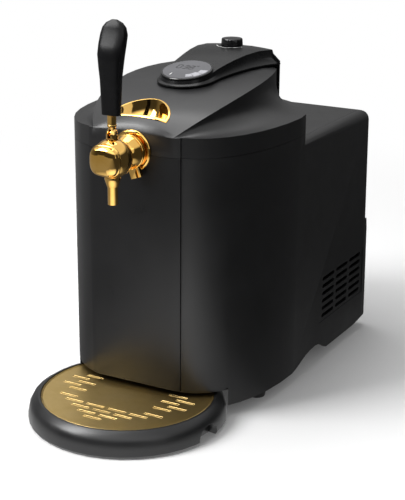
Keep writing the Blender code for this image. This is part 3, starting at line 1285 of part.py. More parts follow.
# Keg well
def add_well():
    """Insulation, keg well, the collar round its mouth and the temperature probe."""
    foam = solid("insulation", prism(drum_outline(SHELL_WALL + SEAT), FOAM_BOTTOM, FOAM_TOP), FOAM)
    cut(foam, rod(WELL_OUTER + SEAT, WELL_FLOOR - SEAT, FOAM_TOP + OVERRUN, 28), "well")
    half = COLD_BLOCK_HALF + SEAT
    cut(foam, block(-half, half, WELL_RADIUS - half, FOAM_REAR + OVERRUN, COOLER_HEIGHT - half, COOLER_HEIGHT + half),
        "cold_window")
    notch = NUT_RADIUS + SLIDE_GAP * 2
    notch_back = NUT_THICKNESS * 2 - WALL_FACE
    cut(foam, block(-notch, notch, -DRUM_FRONT, notch_back, TAP_HEIGHT - notch, FOAM_TOP + OVERRUN), "nut_notch")
    inner, outer = WELL_RADIUS, WELL_OUTER
    corner = WELL_CORNER_RADIUS
    profile = [(0, WELL_FLOOR), (outer - corner, WELL_FLOOR), (outer, WELL_FLOOR + corner),
               (outer, WELL_RIM - WELL_WALL), (outer + WELL_FLANGE, WELL_RIM - WELL_WALL),
               (outer + WELL_FLANGE, WELL_RIM), (inner, WELL_RIM), (inner, WELL_FLOOR + corner),
               (inner - corner + WELL_WALL, WELL_FLOOR + WELL_WALL), (0, WELL_FLOOR + WELL_WALL)]
    solid("keg_well", turned(profile, 28), ALUMINIUM)
    collar = solid("well_collar", prism(drum_outline(SHELL_WALL + SEAT), COLLAR_BOTTOM, COLLAR_TOP), GREY_PLASTIC)
    cut(collar, rod(WELL_OUTER + SEAT, COLLAR_BOTTOM - OVERRUN, COLLAR_TOP + OVERRUN, 28), "well")
    cut(collar, block(-notch, notch, -DRUM_FRONT, notch_back, COLLAR_BOTTOM - OVERRUN, COLLAR_TOP + OVERRUN),
        "nut_notch")
    reach = WELL_OUTER + SEAT + PROBE_RADIUS
    place = (reach * math.cos(PROBE_ANGLE), reach * math.sin(PROBE_ANGLE))
    mouth = (WELL_RADIUS * math.cos(PROBE_ANGLE), WELL_RADIUS * math.sin(PROBE_ANGLE))
    top = FOAM_TOP - SEAT
    groove_low = top - PROBE_LENGTH - SEAT
    groove = cut(foam, rod(PROBE_RADIUS + SEAT, groove_low, FOAM_TOP + OVERRUN, 12, "Z", place), "probe_groove")
    add(groove, rod(PROBE_RADIUS + SEAT, groove_low, FOAM_TOP + OVERRUN, 12, "Z", mouth), "mouth")
    solid("temperature_probe", rod(PROBE_RADIUS, top - PROBE_LENGTH, top, 12, "Z", place), STEEL)


# Cooling unit
def add_cooling():
    """Cold block, thermoelectric module, finned heat sink, fan and power board."""
    z_low, z_high = COOLER_HEIGHT - COLD_BLOCK_HALF, COOLER_HEIGHT + COLD_BLOCK_HALF
    cold = solid("cold_block", block(-COLD_BLOCK_HALF, COLD_BLOCK_HALF, WELL_RADIUS - COLD_BLOCK_HALF,
                                     PELTIER_Y - SEAT, z_low, z_high), ALUMINIUM, smooth=False)
    cut(cold, rod(WELL_OUTER + SEAT, z_low - OVERRUN, z_high + OVERRUN, 28), "well_seat")
    half = PELTIER_HALF
    solid("peltier_module", block(-half, half, PELTIER_Y, PELTIER_Y + PELTIER_THICKNESS,
                                  COOLER_HEIGHT - half, COOLER_HEIGHT + half), CERAMIC, smooth=False)
    low, high = COOLER_HEIGHT - SINK_HALF, COOLER_HEIGHT + SINK_HALF
    sink = solid("heat_sink", block(-SINK_HALF, SINK_HALF, SINK_Y, SINK_Y + SINK_BASE, low, high), ALUMINIUM,
                 smooth=False)
    pitch = (SINK_HALF * 2 - SINK_FIN_THICKNESS) / (SINK_FINS - 1)
    fins = []
    for fin in range(SINK_FINS):
        x = pitch * fin - SINK_HALF
        fins.append(block(x, x + SINK_FIN_THICKNESS, SINK_Y + SINK_BASE / 2, SINK_Y + SINK_DEPTH, low, high))
    add(sink, merged(*fins), "fins")
    add_fan()
    add_board()


def add_fan():
    """Axial fan behind the heat sink: square frame with spokes, and the bladed rotor."""
    near, far = FAN_Y, FAN_Y + FAN_DEPTH
    frame = solid("fan_frame", block(-FAN_HALF, FAN_HALF, near, far, COOLER_HEIGHT - FAN_HALF,
                                     COOLER_HEIGHT + FAN_HALF), GLOSS_BLACK)
    cut(frame, rod(FAN_BORE_RADIUS, near - OVERRUN, far + OVERRUN, 24, "Y", (0, COOLER_HEIGHT)), "bore")
    spokes = []
    reach = FAN_BORE_RADIUS + FAN_SPOKE_HALF / 2
    for angle in (math.radians(45), math.radians(135)):
        spoke = block(-reach, reach, far - FAN_SPIDER, far, -FAN_SPOKE_HALF, FAN_SPOKE_HALF)
        bmesh.ops.rotate(spoke, verts=spoke.verts, cent=(0, 0, 0), matrix=Matrix.Rotation(angle, 3, "Y"))
        bmesh.ops.translate(spoke, verts=spoke.verts, vec=(0, 0, COOLER_HEIGHT))
        spokes.append(spoke)
    for number, spoke in enumerate(spokes):
        add(frame, spoke, f"spoke_{number}")
    add(frame, rod(FAN_HUB_RADIUS, far - FAN_SPIDER, far, 16, "Y", (0, COOLER_HEIGHT)), "spider_hub")
    for number, (x, z) in enumerate(fan_hole_places()):
        cut(frame, rod(SCREW_RADIUS + SCREW_GAP, near - OVERRUN, far + OVERRUN, 10, "Y", (x, z)), f"hole_{number}")
    hub_rear = far - FAN_SPIDER - SEAT
    hub_front = near + FAN_SPIDER / 2
    rotor = solid("fan_rotor", rod(FAN_HUB_RADIUS, hub_front, hub_rear, 16, "Y", (0, COOLER_HEIGHT)), GLOSS_BLACK)
    blades = []
    chord = (hub_rear - hub_front) / 2 - FAN_BLADE_THICKNESS
    for index in range(FAN_BLADES):
        blade = block(FAN_HUB_RADIUS - FAN_SPIDER, FAN_BORE_RADIUS - FAN_TIP_GAP, -FAN_BLADE_THICKNESS / 2,
                      FAN_BLADE_THICKNESS / 2, -chord, chord)
        bmesh.ops.rotate(blade, verts=blade.verts, cent=(0, 0, 0), matrix=Matrix.Rotation(FAN_BLADE_PITCH, 3, "X"))
        turn = Matrix.Rotation(math.tau * index / FAN_BLADES, 3, "Y")
        bmesh.ops.rotate(blade, verts=blade.verts, cent=(0, 0, 0), matrix=turn)
        bmesh.ops.translate(blade, verts=blade.verts, vec=(0, (hub_front + hub_rear) / 2, COOLER_HEIGHT))
        blades.append(blade)
    add(rotor, merged(*blades), "blades")
    origin_at(rotor, (0, FAN_MIDDLE, COOLER_HEIGHT))


def fan_hole_places():
    offset = FAN_HOLE_OFFSET
    return [(x, COOLER_HEIGHT + z) for x in (-offset, offset) for z in (-offset, offset)]


def add_board():
    """Power supply board on stand-offs over the base, with its transformer and capacitors."""
    low = BASE_TOP + BOARD_STANDOFF
    top = low + BOARD_THICKNESS
    rear = BOARD_FRONT + BOARD_DEPTH
    board = solid("power_board", block(-BOARD_HALF_WIDTH, BOARD_HALF_WIDTH, BOARD_FRONT, rear, low, top), CIRCUIT,
                  smooth=False)
    margin = FAN_SPIDER * 2
    for number, (x, y) in enumerate([(x, y) for x in (margin - BOARD_HALF_WIDTH, BOARD_HALF_WIDTH - margin)
                                     for y in (BOARD_FRONT + margin, rear - margin)]):
        add(board, rod(FAN_SPIDER, BASE_TOP + SEAT, low + BOARD_THICKNESS / 2, 10, "Z", (x, y)), f"standoff_{number}")
    middle = (BOARD_FRONT + rear) / 2
    add(board, block(-TRANSFORMER_HALF, TRANSFORMER_HALF, middle - TRANSFORMER_HALF, middle + TRANSFORMER_HALF,
                     low + BOARD_THICKNESS / 2, top + TRANSFORMER_HEIGHT), "transformer")
    for number, side in enumerate((1, 2)):
        x = TRANSFORMER_HALF + CAPACITOR_RADIUS * 2 * side
        add(board, rod(CAPACITOR_RADIUS - SEAT, low + BOARD_THICKNESS / 2, top + CAPACITOR_HEIGHT, 14, "Z",
                       (x, middle)), f"capacitor_{number}")


# Tap
def tap_solid(name, profile, steps, material=GOLD):
    """A turned piece about the tap's level axis, profile heights running towards the user."""
    return solid(name, turned([(r, -h) for r, h in profile], steps, "Y", (0, 0, TAP_HEIGHT)), material)


def add_shank():
    """Threaded shank through the saddle, with washer and nut behind the wall and the wall flange."""
    front = TAP_REAR_FACE - SLIDE_GAP
    tail = SHANK_TAIL
    barb = tail - BARB_LENGTH
    profile = [(SHANK_BORE, barb), (BARB_RADIUS - BORE_STEP, barb), (BARB_RADIUS, barb + BARB_LENGTH / 3),
               (BARB_RADIUS - BORE_STEP, barb + BARB_LENGTH / 3), (BARB_RADIUS, barb + BARB_LENGTH * 2 / 3),
               (BARB_RADIUS - BORE_STEP, barb + BARB_LENGTH * 2 / 3), (BARB_RADIUS - BORE_STEP, tail),
               (SHANK_RADIUS, tail), (SHANK_RADIUS, front), (SHANK_BORE, front)]
    tap_solid("tap_shank", profile, 16)
    bore = SHANK_RADIUS + SEAT
    washer_face = WALL_FACE - SEAT
    washer_back = washer_face - WASHER_THICKNESS
    tap_solid("shank_washer", [(bore, washer_back), (WASHER_RADIUS, washer_back), (WASHER_RADIUS, washer_face),
                               (bore, washer_face)], 16, STEEL)
    nut_face = washer_back - SEAT
    nut = solid("shank_nut", rod(NUT_RADIUS, -nut_face, NUT_THICKNESS - nut_face, 6, "Y", (0, TAP_HEIGHT)), BRASS,
                smooth=False)
    cut(nut, rod(bore, -nut_face - OVERRUN, NUT_THICKNESS + OVERRUN - nut_face, 16, "Y", (0, TAP_HEIGHT)), "bore")
    near, far = DRUM_FRONT + SEAT, FLANGE_FACE
    hub = FLANGE_HUB_RADIUS
    lip = FLANGE_THICKNESS / 3
    tap_solid("wall_flange", [(bore, near), (FLANGE_RADIUS, near), (FLANGE_RADIUS, near + lip),
                              (FLANGE_RADIUS - lip, near + lip * 2), (LOCK_RING_RADIUS, near + lip * 2),
                              (hub, far), (hub, LOCK_RING_FRONT), (bore, LOCK_RING_FRONT)], 28)


def add_lock_ring():
    """Ring with a finger tab that locks the tap in its saddle."""
    near, far = FLANGE_FACE + SEAT, LOCK_RING_FRONT
    bore, edge = FLANGE_HUB_RADIUS + SEAT, BORE_STEP / 2
    ring = tap_solid("lock_ring", [(bore, near), (LOCK_RING_RADIUS, near), (LOCK_RING_RADIUS, far - edge),
                                   (LOCK_RING_RADIUS - edge, far), (bore, far)], 24)
    tab = block(-LOCK_TAB_HALF, LOCK_TAB_HALF, -far + edge, -near, -LOCK_TAB_REACH, BORE_STEP - LOCK_RING_RADIUS)
    bmesh.ops.rotate(tab, verts=tab.verts, cent=(0, 0, 0), matrix=Matrix.Rotation(-LOCK_REST, 3, "Y"))
    bmesh.ops.translate(tab, verts=tab.verts, vec=(0, 0, TAP_HEIGHT))
    add(ring, tab, "tab")
    origin_at(ring, (0, -(near + far) / 2, TAP_HEIGHT))


def add_tap_body():
    """Coupling nut, ball-shaped tap body and its front cap."""
    near, far = COUPLING_FACE, TAP_REAR_FACE - SEAT
    bore = SHANK_RADIUS + SEAT
    edge = BORE_STEP
    profile = [(bore, near), (COUPLING_RADIUS - edge, near), (COUPLING_RADIUS, near + edge), (COUPLING_NECK, far),
               (bore, far)]
    coupling = solid("coupling_nut", turned([(r, -h) for r, h in profile], COUPLING_FACETS, "Y", (0, 0, TAP_HEIGHT)),
                     GOLD, smooth=False)
    radius = TAP_BALL_RADIUS
    front, rear = math.asin(TAP_FRONT_CUT / radius), -math.asin(TAP_REAR_CUT / radius)
    bore_end = PLUNGER_FRONT + SLIDE_GAP
    ball = [(0, bore_end), (TAP_BORE_RADIUS, bore_end), (TAP_BORE_RADIUS, -TAP_REAR_CUT)]
    ball += [(radius * math.cos(a), radius * math.sin(a)) for a in
             [rear + (front - rear) * step / 8 for step in range(9)]]
    ball.append((0, TAP_FRONT_CUT))
    body = tap_solid("tap_body", [(r, TAP_SETOUT + h) for r, h in ball], 24)
    half = YOKE_HALF_WIDTH + SLIDE_GAP
    top = TAP_HEIGHT + YOKE_TOP_RISE + SLIDE_GAP
    slot_front = -TAP_SETOUT - YOKE_HALF_LENGTH - SLIDE_GAP
    slot_back = slot_front + YOKE_HALF_LENGTH * 2 + SLIDE_GAP * 2 + PLUNGER_TRAVEL
    cut(body, block(-half, half, slot_front, slot_back, TAP_HEIGHT + BORE_STEP, top), "yoke_space")
    bonnet_seat = PIVOT_HEIGHT - BONNET_BOTTOM_DROP
    cut(body, rod(BONNET_RADIUS + SEAT, bonnet_seat - SEAT, PIVOT_HEIGHT, 20, "Z", (0, -TAP_SETOUT)), "bonnet_seat")
    cut(body, tail_sweep(), "tail_sweep")
    spout_seat = TAP_HEIGHT - SPOUT_SEAT_RISE
    cut(body, rod(SPOUT_TOP_RADIUS + SEAT, TAP_HEIGHT - radius - OVERRUN, spout_seat + SEAT, 20, "Z",
                  (0, -TAP_SETOUT)), "spout_seat")
    cut(body, rod(SPOUT_BORE_RADIUS, spout_seat - OVERRUN, TAP_HEIGHT, 16, "Z", (0, -TAP_SETOUT)), "outlet")
    rings = []
    for scale, depth in CAP_PROFILE_shares:
        outline = superellipse(CAP_HALF_WIDTH * scale, CAP_HALF_HEIGHT * scale, CAP_EXPONENT, 28)
        rings.append([(x, -(TAP_FRONT_FACE + SEAT + CAP_DEPTH * depth), TAP_HEIGHT + z) for x, z in outline])
    solid("tap_front_cap", loft(rings), GOLD)
    return body, coupling


def tail_sweep():
    """The room that the lever's tail swings through below its pivot."""
    half = LEVER_ROD_RADIUS + SLIDE_GAP
    wide = LEVER_ROD_RADIUS / math.cos(LEVER_TRAVEL) + SLIDE_GAP
    swing = LEVER_TAIL * math.tan(LEVER_TRAVEL)
    low, high, y = PIVOT_HEIGHT - LEVER_TAIL, PIVOT_HEIGHT + SEAT, -TAP_SETOUT
    return prism([(y - wide, low), (y + swing + wide, low), (y + wide, high), (y - wide, high)], -half, half, "X")


def add_bonnet():
    """Bonnet on top of the ball, domed round the lever's pivot."""
    low = PIVOT_HEIGHT - BONNET_BOTTOM_DROP
    dome = BONNET_DOME_RADIUS
    profile = [(BONNET_BORE_RADIUS, low), (BONNET_RADIUS, low), (BONNET_RADIUS, PIVOT_HEIGHT)]
    profile += [(dome * math.cos(a), PIVOT_HEIGHT + dome * math.sin(a)) for a in
                [math.radians(angle) for angle in (0, 25, 50, 75)]]
    mouth = dome * math.cos(math.radians(75))
    profile += [(mouth, PIVOT_HEIGHT + BORE_STEP), (BONNET_BORE_RADIUS, PIVOT_HEIGHT)]
    bonnet = solid("lever_bonnet", turned(profile, 16, "Z", (0, -TAP_SETOUT, 0)), GOLD)
    cut(bonnet, tail_sweep(), "tail_sweep")
    half = LEVER_ROD_RADIUS + SLIDE_GAP / 2
    reach = dome * math.sin(LEVER_TRAVEL) + half * 2
    cut(bonnet, block(-half, half, -TAP_SETOUT - reach, half * 2 - TAP_SETOUT, PIVOT_HEIGHT - BONNET_BORE_RADIUS,
                      PIVOT_HEIGHT + dome + OVERRUN), "lever_slot")
    pin = LEVER_PIN_RADIUS + SEAT
    cut(bonnet, rod(pin, -BONNET_RADIUS - OVERRUN, BONNET_RADIUS + OVERRUN, 12, "X", (-TAP_SETOUT, PIVOT_HEIGHT)),
        "pin_bore")
    solid("lever_pin", rod(LEVER_PIN_RADIUS, -LEVER_PIN_HALF, LEVER_PIN_HALF, 12, "X", (-TAP_SETOUT, PIVOT_HEIGHT)),
          STEEL)


def add_lever():
    """Lever with its stem and tail, the plunger that the tail drives, and the handle."""
    centre = (0, -TAP_SETOUT)
    cup = BONNET_DOME_RADIUS + SEAT
    edge = math.sqrt(cup ** 2 - LEVER_STEM_RADIUS ** 2)
    profile = [(0, PIVOT_HEIGHT + cup)]
    profile += [(cup * math.sin(a), PIVOT_HEIGHT + cup * math.cos(a)) for a in
                [math.asin(LEVER_STEM_RADIUS / cup) * step / 3 for step in range(1, 4)]]
    profile += [(LEVER_STEM_RADIUS, LEVER_STEM_TOP), (LEVER_STEM_RADIUS - BORE_STEP, LEVER_STEM_TOP),
                (LEVER_STEM_RADIUS - BORE_STEP, LEVER_STEM_TOP + HANDLE_SOCKET_DEPTH - SEAT),
                (0, LEVER_STEM_TOP + HANDLE_SOCKET_DEPTH - SEAT)]
    lever = solid("tap_lever", turned(profile, 16, "Z", (0, -TAP_SETOUT, 0)), GOLD)
    add(lever, rod(LEVER_ROD_RADIUS, PIVOT_HEIGHT - LEVER_TAIL, PIVOT_HEIGHT + edge + BONNET_DOME_RADIUS / 2, 12, "Z",
                   centre), "tail")
    add(lever, rod(LEVER_EYE_RADIUS, SEAT - LEVER_ROD_RADIUS, LEVER_ROD_RADIUS - SEAT, 16, "X",
                   (-TAP_SETOUT, PIVOT_HEIGHT)), "eye")
    cut(lever, rod(LEVER_PIN_RADIUS + SEAT, -LEVER_PIN_HALF, LEVER_PIN_HALF, 12, "X", (-TAP_SETOUT, PIVOT_HEIGHT)),
        "pin_bore")
    origin_at(lever, (0, -TAP_SETOUT, PIVOT_HEIGHT))
    add_handle(centre)
    add_plunger()


def add_handle(centre):
    """Paddle-shaped handle, thickest below its round top, which leans back."""
    low, high = LEVER_STEM_TOP + SEAT, HANDLE_TOP
    rings = []
    for along, wide, deep, back in HANDLE_shares:
        z = low + (high - low) * along
        y = centre[1] + HANDLE_LEAN * back
        outline = superellipse(HANDLE_HALF_WIDTH * wide, HANDLE_HALF_DEPTH * deep, HANDLE_EXPONENT, 24)
        rings.append([(x, y + v, z) for x, v in outline])
    handle = solid("tap_handle", loft(rings), SATIN_BLACK)
    socket = LEVER_STEM_RADIUS - BORE_STEP + SEAT
    cut(handle, rod(socket, low - OVERRUN, LEVER_STEM_TOP + HANDLE_SOCKET_DEPTH, 16, "Z", centre), "socket")
    origin_at(handle, (0, -TAP_SETOUT, PIVOT_HEIGHT))


def add_plunger():
    """Valve plunger in the ball, with the yoke that takes the lever's tail."""
    radius = TAP_BORE_RADIUS - SEAT
    front, rear = -(TAP_SETOUT + PLUNGER_FRONT), PLUNGER_REAR - TAP_SETOUT
    plunger = solid("tap_plunger", rod(radius, front, rear, 20, "Y", (0, TAP_HEIGHT)), SILICONE)
    add(plunger, block(-YOKE_HALF_WIDTH, YOKE_HALF_WIDTH, -TAP_SETOUT - YOKE_HALF_LENGTH,
                       YOKE_HALF_LENGTH - TAP_SETOUT, TAP_HEIGHT, TAP_HEIGHT + YOKE_TOP_RISE), "yoke")
    slot_low = PIVOT_HEIGHT - LEVER_TAIL - SLIDE_GAP * 2
    half = LEVER_ROD_RADIUS + SLIDE_GAP
    cut(plunger, block(-half, half, -TAP_SETOUT - YOKE_SLOT_HALF, YOKE_SLOT_HALF - TAP_SETOUT, slot_low,
                       TAP_HEIGHT + YOKE_TOP_RISE + OVERRUN), "tail_slot")
    origin_at(plunger, (0, -TAP_SETOUT, TAP_HEIGHT))


def add_spout():
    """Spout tube with its conical head."""
    top = TAP_HEIGHT - SPOUT_SEAT_RISE
    cone = top - SPOUT_CONE_DROP
    shoulder = top - BORE_STEP * 2
    profile = [(SPOUT_BORE_RADIUS, SPOUT_BOTTOM), (SPOUT_TUBE_RADIUS, SPOUT_BOTTOM), (SPOUT_TUBE_RADIUS, cone),
               (SPOUT_TUBE_RADIUS + BORE_STEP / 2, cone), (SPOUT_TOP_RADIUS, shoulder), (SPOUT_TOP_RADIUS, top),
               (SPOUT_BORE_RADIUS, top)]
    solid("tap_spout", turned(profile, 18, "Z", (0, -TAP_SETOUT, 0)), GOLD)


# Drip tray
def add_tray():
    """Round tray with a finger notch on each side and the tongue that guides it."""
    rim = TRAY_HEIGHT
    outer = [(TRAY_RADIUS * across, rim * up) for across, up in TRAY_PROFILE_shares]
    lip = PLATE_RADIUS + SEAT * 2
    basin = TRAY_BASIN_RADIUS
    profile = [(0, TRAY_FLOOR_BOTTOM)] + outer
    profile += [(lip, rim), (lip, TRAY_LEDGE), (basin, TRAY_LEDGE), (basin - TRAY_DRAFT, TRAY_FLOOR), (0, TRAY_FLOOR)]
    tray = solid("drip_tray", turned(profile, 40, "Z", (0, -TRAY_SETOUT, 0)), SATIN_BLACK)
    for side, name in ((0.0, "right"), (math.pi, "left")):
        turn = -NOTCH_ANGLE if side else NOTCH_ANGLE
        outline = [(-NOTCH_HALF_WIDTH, -OVERRUN), (NOTCH_HALF_WIDTH, -OVERRUN)]
        crown = NOTCH_HEIGHT * 2 / 3
        outline += arc((0, NOTCH_HEIGHT - crown), (NOTCH_HALF_WIDTH, crown), 0, math.pi, 8)
        notch = prism(outline, TRAY_RADIUS - NOTCH_DEPTH, TRAY_RADIUS + OVERRUN, "X")
        spin = Matrix.Rotation(side + turn, 3, "Z")
        bmesh.ops.rotate(notch, verts=notch.verts, cent=(0, 0, 0), matrix=spin)
        bmesh.ops.translate(notch, verts=notch.verts, vec=(0, -TRAY_SETOUT, 0))
        cut(tray, notch, f"notch_{name}")
    start = lip + BORE_STEP - TRAY_SETOUT
    tongue = block(-TRAY_TONGUE_HALF, TRAY_TONGUE_HALF, start, TRAY_TONGUE_REAR, TRAY_TONGUE_BOTTOM,
                   BASE_BOTTOM - SEAT)
    return tray, tongue


def add_plate():
    """Drip plate with a ring of slots in staggered rows and a thin raised rim."""
    low, top = TRAY_LEDGE + SEAT, TRAY_LEDGE + SEAT + PLATE_THICKNESS
    rim = PLATE_RADIUS - PLATE_RIM
    profile = [(0, low), (PLATE_RADIUS, low), (PLATE_RADIUS, top + PLATE_RIM_RISE), (rim, top + PLATE_RIM_RISE),
               (rim - PLATE_RIM_RISE, top), (0, top)]
    plate = solid("drip_plate", turned(profile, 40, "Z", (0, -TRAY_SETOUT, 0)), BRONZE_PLATE)
    slots = []
    inner, outer = SLOT_BAND
    step = SLOT_LENGTH + SLOT_GAP
    rows = int(outer / SLOT_PITCH)
    for row in range(-rows, rows + 1):
        y = SLOT_PITCH * row
        shift = step / 2 if row % 2 else 0.0
        columns = int(outer / step) + 1
        for column in range(-columns, columns + 1):
            x = step * column + shift
            reach = math.hypot(abs(x) + SLOT_LENGTH / 2, y)
            near = math.hypot(max(abs(x) - SLOT_LENGTH / 2, 0), y)
            if reach < outer and near > inner:
                across, along = SLOT_LENGTH / 2, SLOT_WIDTH / 2
                outline = rectangle(x - across, x + across, y - TRAY_SETOUT - along, y - TRAY_SETOUT + along)
                slots.append(prism(outline, low - OVERRUN, top + OVERRUN))
    cut(plate, merged(*slots), "slots")


# Screws
def screw(place, axis, face):
    """A pan-head screw along an axis, its head standing on a face and its shank behind it."""
    flat = SCREW_HEAD_RADIUS - SEAT
    profile = [(0, -SCREW_LENGTH), (SCREW_RADIUS, -SCREW_LENGTH), (SCREW_RADIUS, 0), (SCREW_HEAD_RADIUS, 0),
               (SCREW_HEAD_RADIUS, SCREW_HEAD / 2), (flat, SCREW_HEAD), (0, SCREW_HEAD)]
    centre = (place[0], place[1], face) if axis == "Z" else (place[0], face, place[1])
    return turned(profile, 6, axis, centre)


def add_screws():
    """Screws of the rear cover and of the hinge bracket."""
    for name, place in cover_screw_places().items():
        solid(f"cover_screw_{name}", screw(place, "Y", BULGE_REAR + SEAT), STEEL)
    bracket_top = BOX_TOP + SEAT + HINGE_PLATE
    for name, place in hinge_screw_places().items():
        solid(f"hinge_screw_{name}", screw(place, "Z", bracket_top + SEAT), STEEL)


def build():
    add_housing()
    add_front_panel()
    add_deck()
    add_rear_cover()
    add_base()
    add_well()
    add_cooling()
    add_lid()
    add_scoop()
    add_console()
    add_display()
    add_knob()
    add_gas_unit()
    add_lid_pan()
    add_hinge()
    add_shank()
    add_lock_ring()
    add_tap_body()
    add_bonnet()
    add_lever()
    add_spout()
    tray, tongue = add_tray()
    add(tray, tongue, "tongue")
    add_plate()
    add_screws()


build()
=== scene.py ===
"""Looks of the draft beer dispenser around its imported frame."""
import math

import bmesh
import bpy
from mathutils import Euler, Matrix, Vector
from mathutils.bvhtree import BVHTree


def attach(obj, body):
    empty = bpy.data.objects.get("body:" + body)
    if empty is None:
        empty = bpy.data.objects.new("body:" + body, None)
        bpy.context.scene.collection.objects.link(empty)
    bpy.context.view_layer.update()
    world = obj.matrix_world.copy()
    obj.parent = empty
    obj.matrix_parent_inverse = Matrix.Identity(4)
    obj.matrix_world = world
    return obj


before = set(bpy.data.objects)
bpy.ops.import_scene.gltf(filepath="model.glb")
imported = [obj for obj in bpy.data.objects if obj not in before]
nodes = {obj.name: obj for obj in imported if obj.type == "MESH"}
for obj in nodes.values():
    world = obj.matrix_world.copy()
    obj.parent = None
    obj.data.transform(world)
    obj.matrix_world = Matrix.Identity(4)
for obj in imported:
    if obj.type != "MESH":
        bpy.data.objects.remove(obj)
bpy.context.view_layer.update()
scene = bpy.context.scene
mm = 0.001


# camera
lens = bpy.data.cameras.new("camera")
lens.lens = 94.99
lens.sensor_width = 36.0
camera = bpy.data.objects.new("camera", lens)
camera.location = (0.72004, -1.29963, 0.64844)
camera.rotation_euler = Euler((1.250171, -0.007546, 0.498623))
scene.collection.objects.link(camera)
scene.camera = camera
scene.view_settings.view_transform = "Standard"


# node helpers
class Graph:
    """A material or world node tree with short calls."""

    def __init__(self, tree):
        self.tree = tree

    def node(self, kind, inputs=None, **settings):
        made = self.tree.nodes.new(kind)
        for name, value in settings.items():
            setattr(made, name, value)
        for name, value in (inputs or {}).items():
            self.put(made, name, value)
        return made

    def put(self, node, name, value):
        socket = node.inputs[name]
        if isinstance(value, bpy.types.NodeSocket):
            self.tree.links.new(value, socket)
        else:
            socket.default_value = value

    def maths(self, operation, a, b=0.5, c=0.5):
        made = self.tree.nodes.new("ShaderNodeMath")
        made.operation = operation
        for index, value in enumerate((a, b, c)):
            self.put(made, index, value)
        return made.outputs[0]

    def noise(self, place, scale, detail=3.0, rough=0.5, stretch=(1, 1, 1)):
        moved = self.node("ShaderNodeMapping", {"Vector": place, "Scale": stretch})
        made = self.node(
            "ShaderNodeTexNoise",
            {"Vector": moved.outputs[0], "Scale": scale, "Detail": detail, "Roughness": rough},
        )
        return made.outputs[0]

    def span(self, value, low, high, to_low, to_high):
        made = self.node(
            "ShaderNodeMapRange",
            {"Value": value, "From Min": low, "From Max": high, "To Min": to_low, "To Max": to_high},
        )
        return made.outputs[0]

    def blend(self, factor, a, b):
        made = self.node("ShaderNodeMix", data_type="RGBA")
        for index, value in ((0, factor), (6, a), (7, b)):
            if isinstance(value, bpy.types.NodeSocket):
                self.tree.links.new(value, made.inputs[index])
            else:
                made.inputs[index].default_value = value
        return made.outputs[2]

    def bump(self, height, distance, strength):
        made = self.node("ShaderNodeBump", {"Height": height, "Distance": distance, "Strength": strength})
        return made.outputs[0]

    def glow(self, strength):
        return self.node("ShaderNodeEmission", {"Color": colour(1, 1, 1), "Strength": strength})


def colour(r, g, b):
    return (r, g, b, 1.0)


def new_material(name, **level):
    """A material with its Principled shader's plain levels set, and its graph."""
    made = bpy.data.materials.new(name)
    made.use_nodes = True
    graph = Graph(made.node_tree)
    shader = made.node_tree.nodes["Principled BSDF"]
    for socket, value in level.items():
        shader.inputs[socket.replace("_", " ")].default_value = value
    place = graph.node("ShaderNodeTexCoord").outputs["Object"]
    return made, graph, shader, place


def moulded(name, tint, rough, grain, mottling=0.05, specular=0.5):
    """Moulded plastic: spark-eroded grain, faint flow clouds in colour and in gloss."""
    made, g, shader, place = new_material(name, Specular_IOR_Level=specular)
    clouds = g.noise(place, 22.0, 4.0, 0.55)
    fine = g.noise(place, 1500.0, 2.0, 0.6)
    dark = [c * 0.86 for c in tint]
    light = [c * 1.16 for c in tint]
    g.put(shader, "Base Color", g.blend(g.span(clouds, 0.3, 0.7, 0.0, 1.0), colour(*dark), colour(*light)))
    level = g.span(clouds, 0.3, 0.7, rough - mottling, rough + mottling)
    level = g.maths("ADD", level, g.span(fine, 0.3, 0.7, -0.02, 0.02))
    g.put(shader, "Roughness", level)
    g.put(shader, "Normal", g.bump(fine, grain, 0.6))
    return made


def metal(name, tint, deep, rough, spread, wave=0.0, brushed=None):
    """Metal: slow tarnish clouds, fine scratches or brushing, and a slightly uneven polish."""
    made, g, shader, place = new_material(name, Metallic=1.0)
    clouds = g.noise(place, 35.0, 5.0, 0.6)
    g.put(shader, "Base Color", g.blend(g.span(clouds, 0.35, 0.7, 0.0, 1.0), colour(*tint), colour(*deep)))
    marks = g.noise(place, 420.0, 4.0, 0.65, brushed or (1, 1, 1))
    level = g.span(marks, 0.3, 0.75, rough - spread, rough + spread)
    level = g.maths("ADD", level, g.span(clouds, 0.35, 0.7, 0.0, spread))
    g.put(shader, "Roughness", g.maths("MAXIMUM", level, 0.03))
    if wave:
        g.put(shader, "Normal", g.bump(g.noise(place, 60.0, 2.0), wave, 0.5))
    elif brushed:
        g.put(shader, "Normal", g.bump(marks, 0.00003, 0.5))
    return made


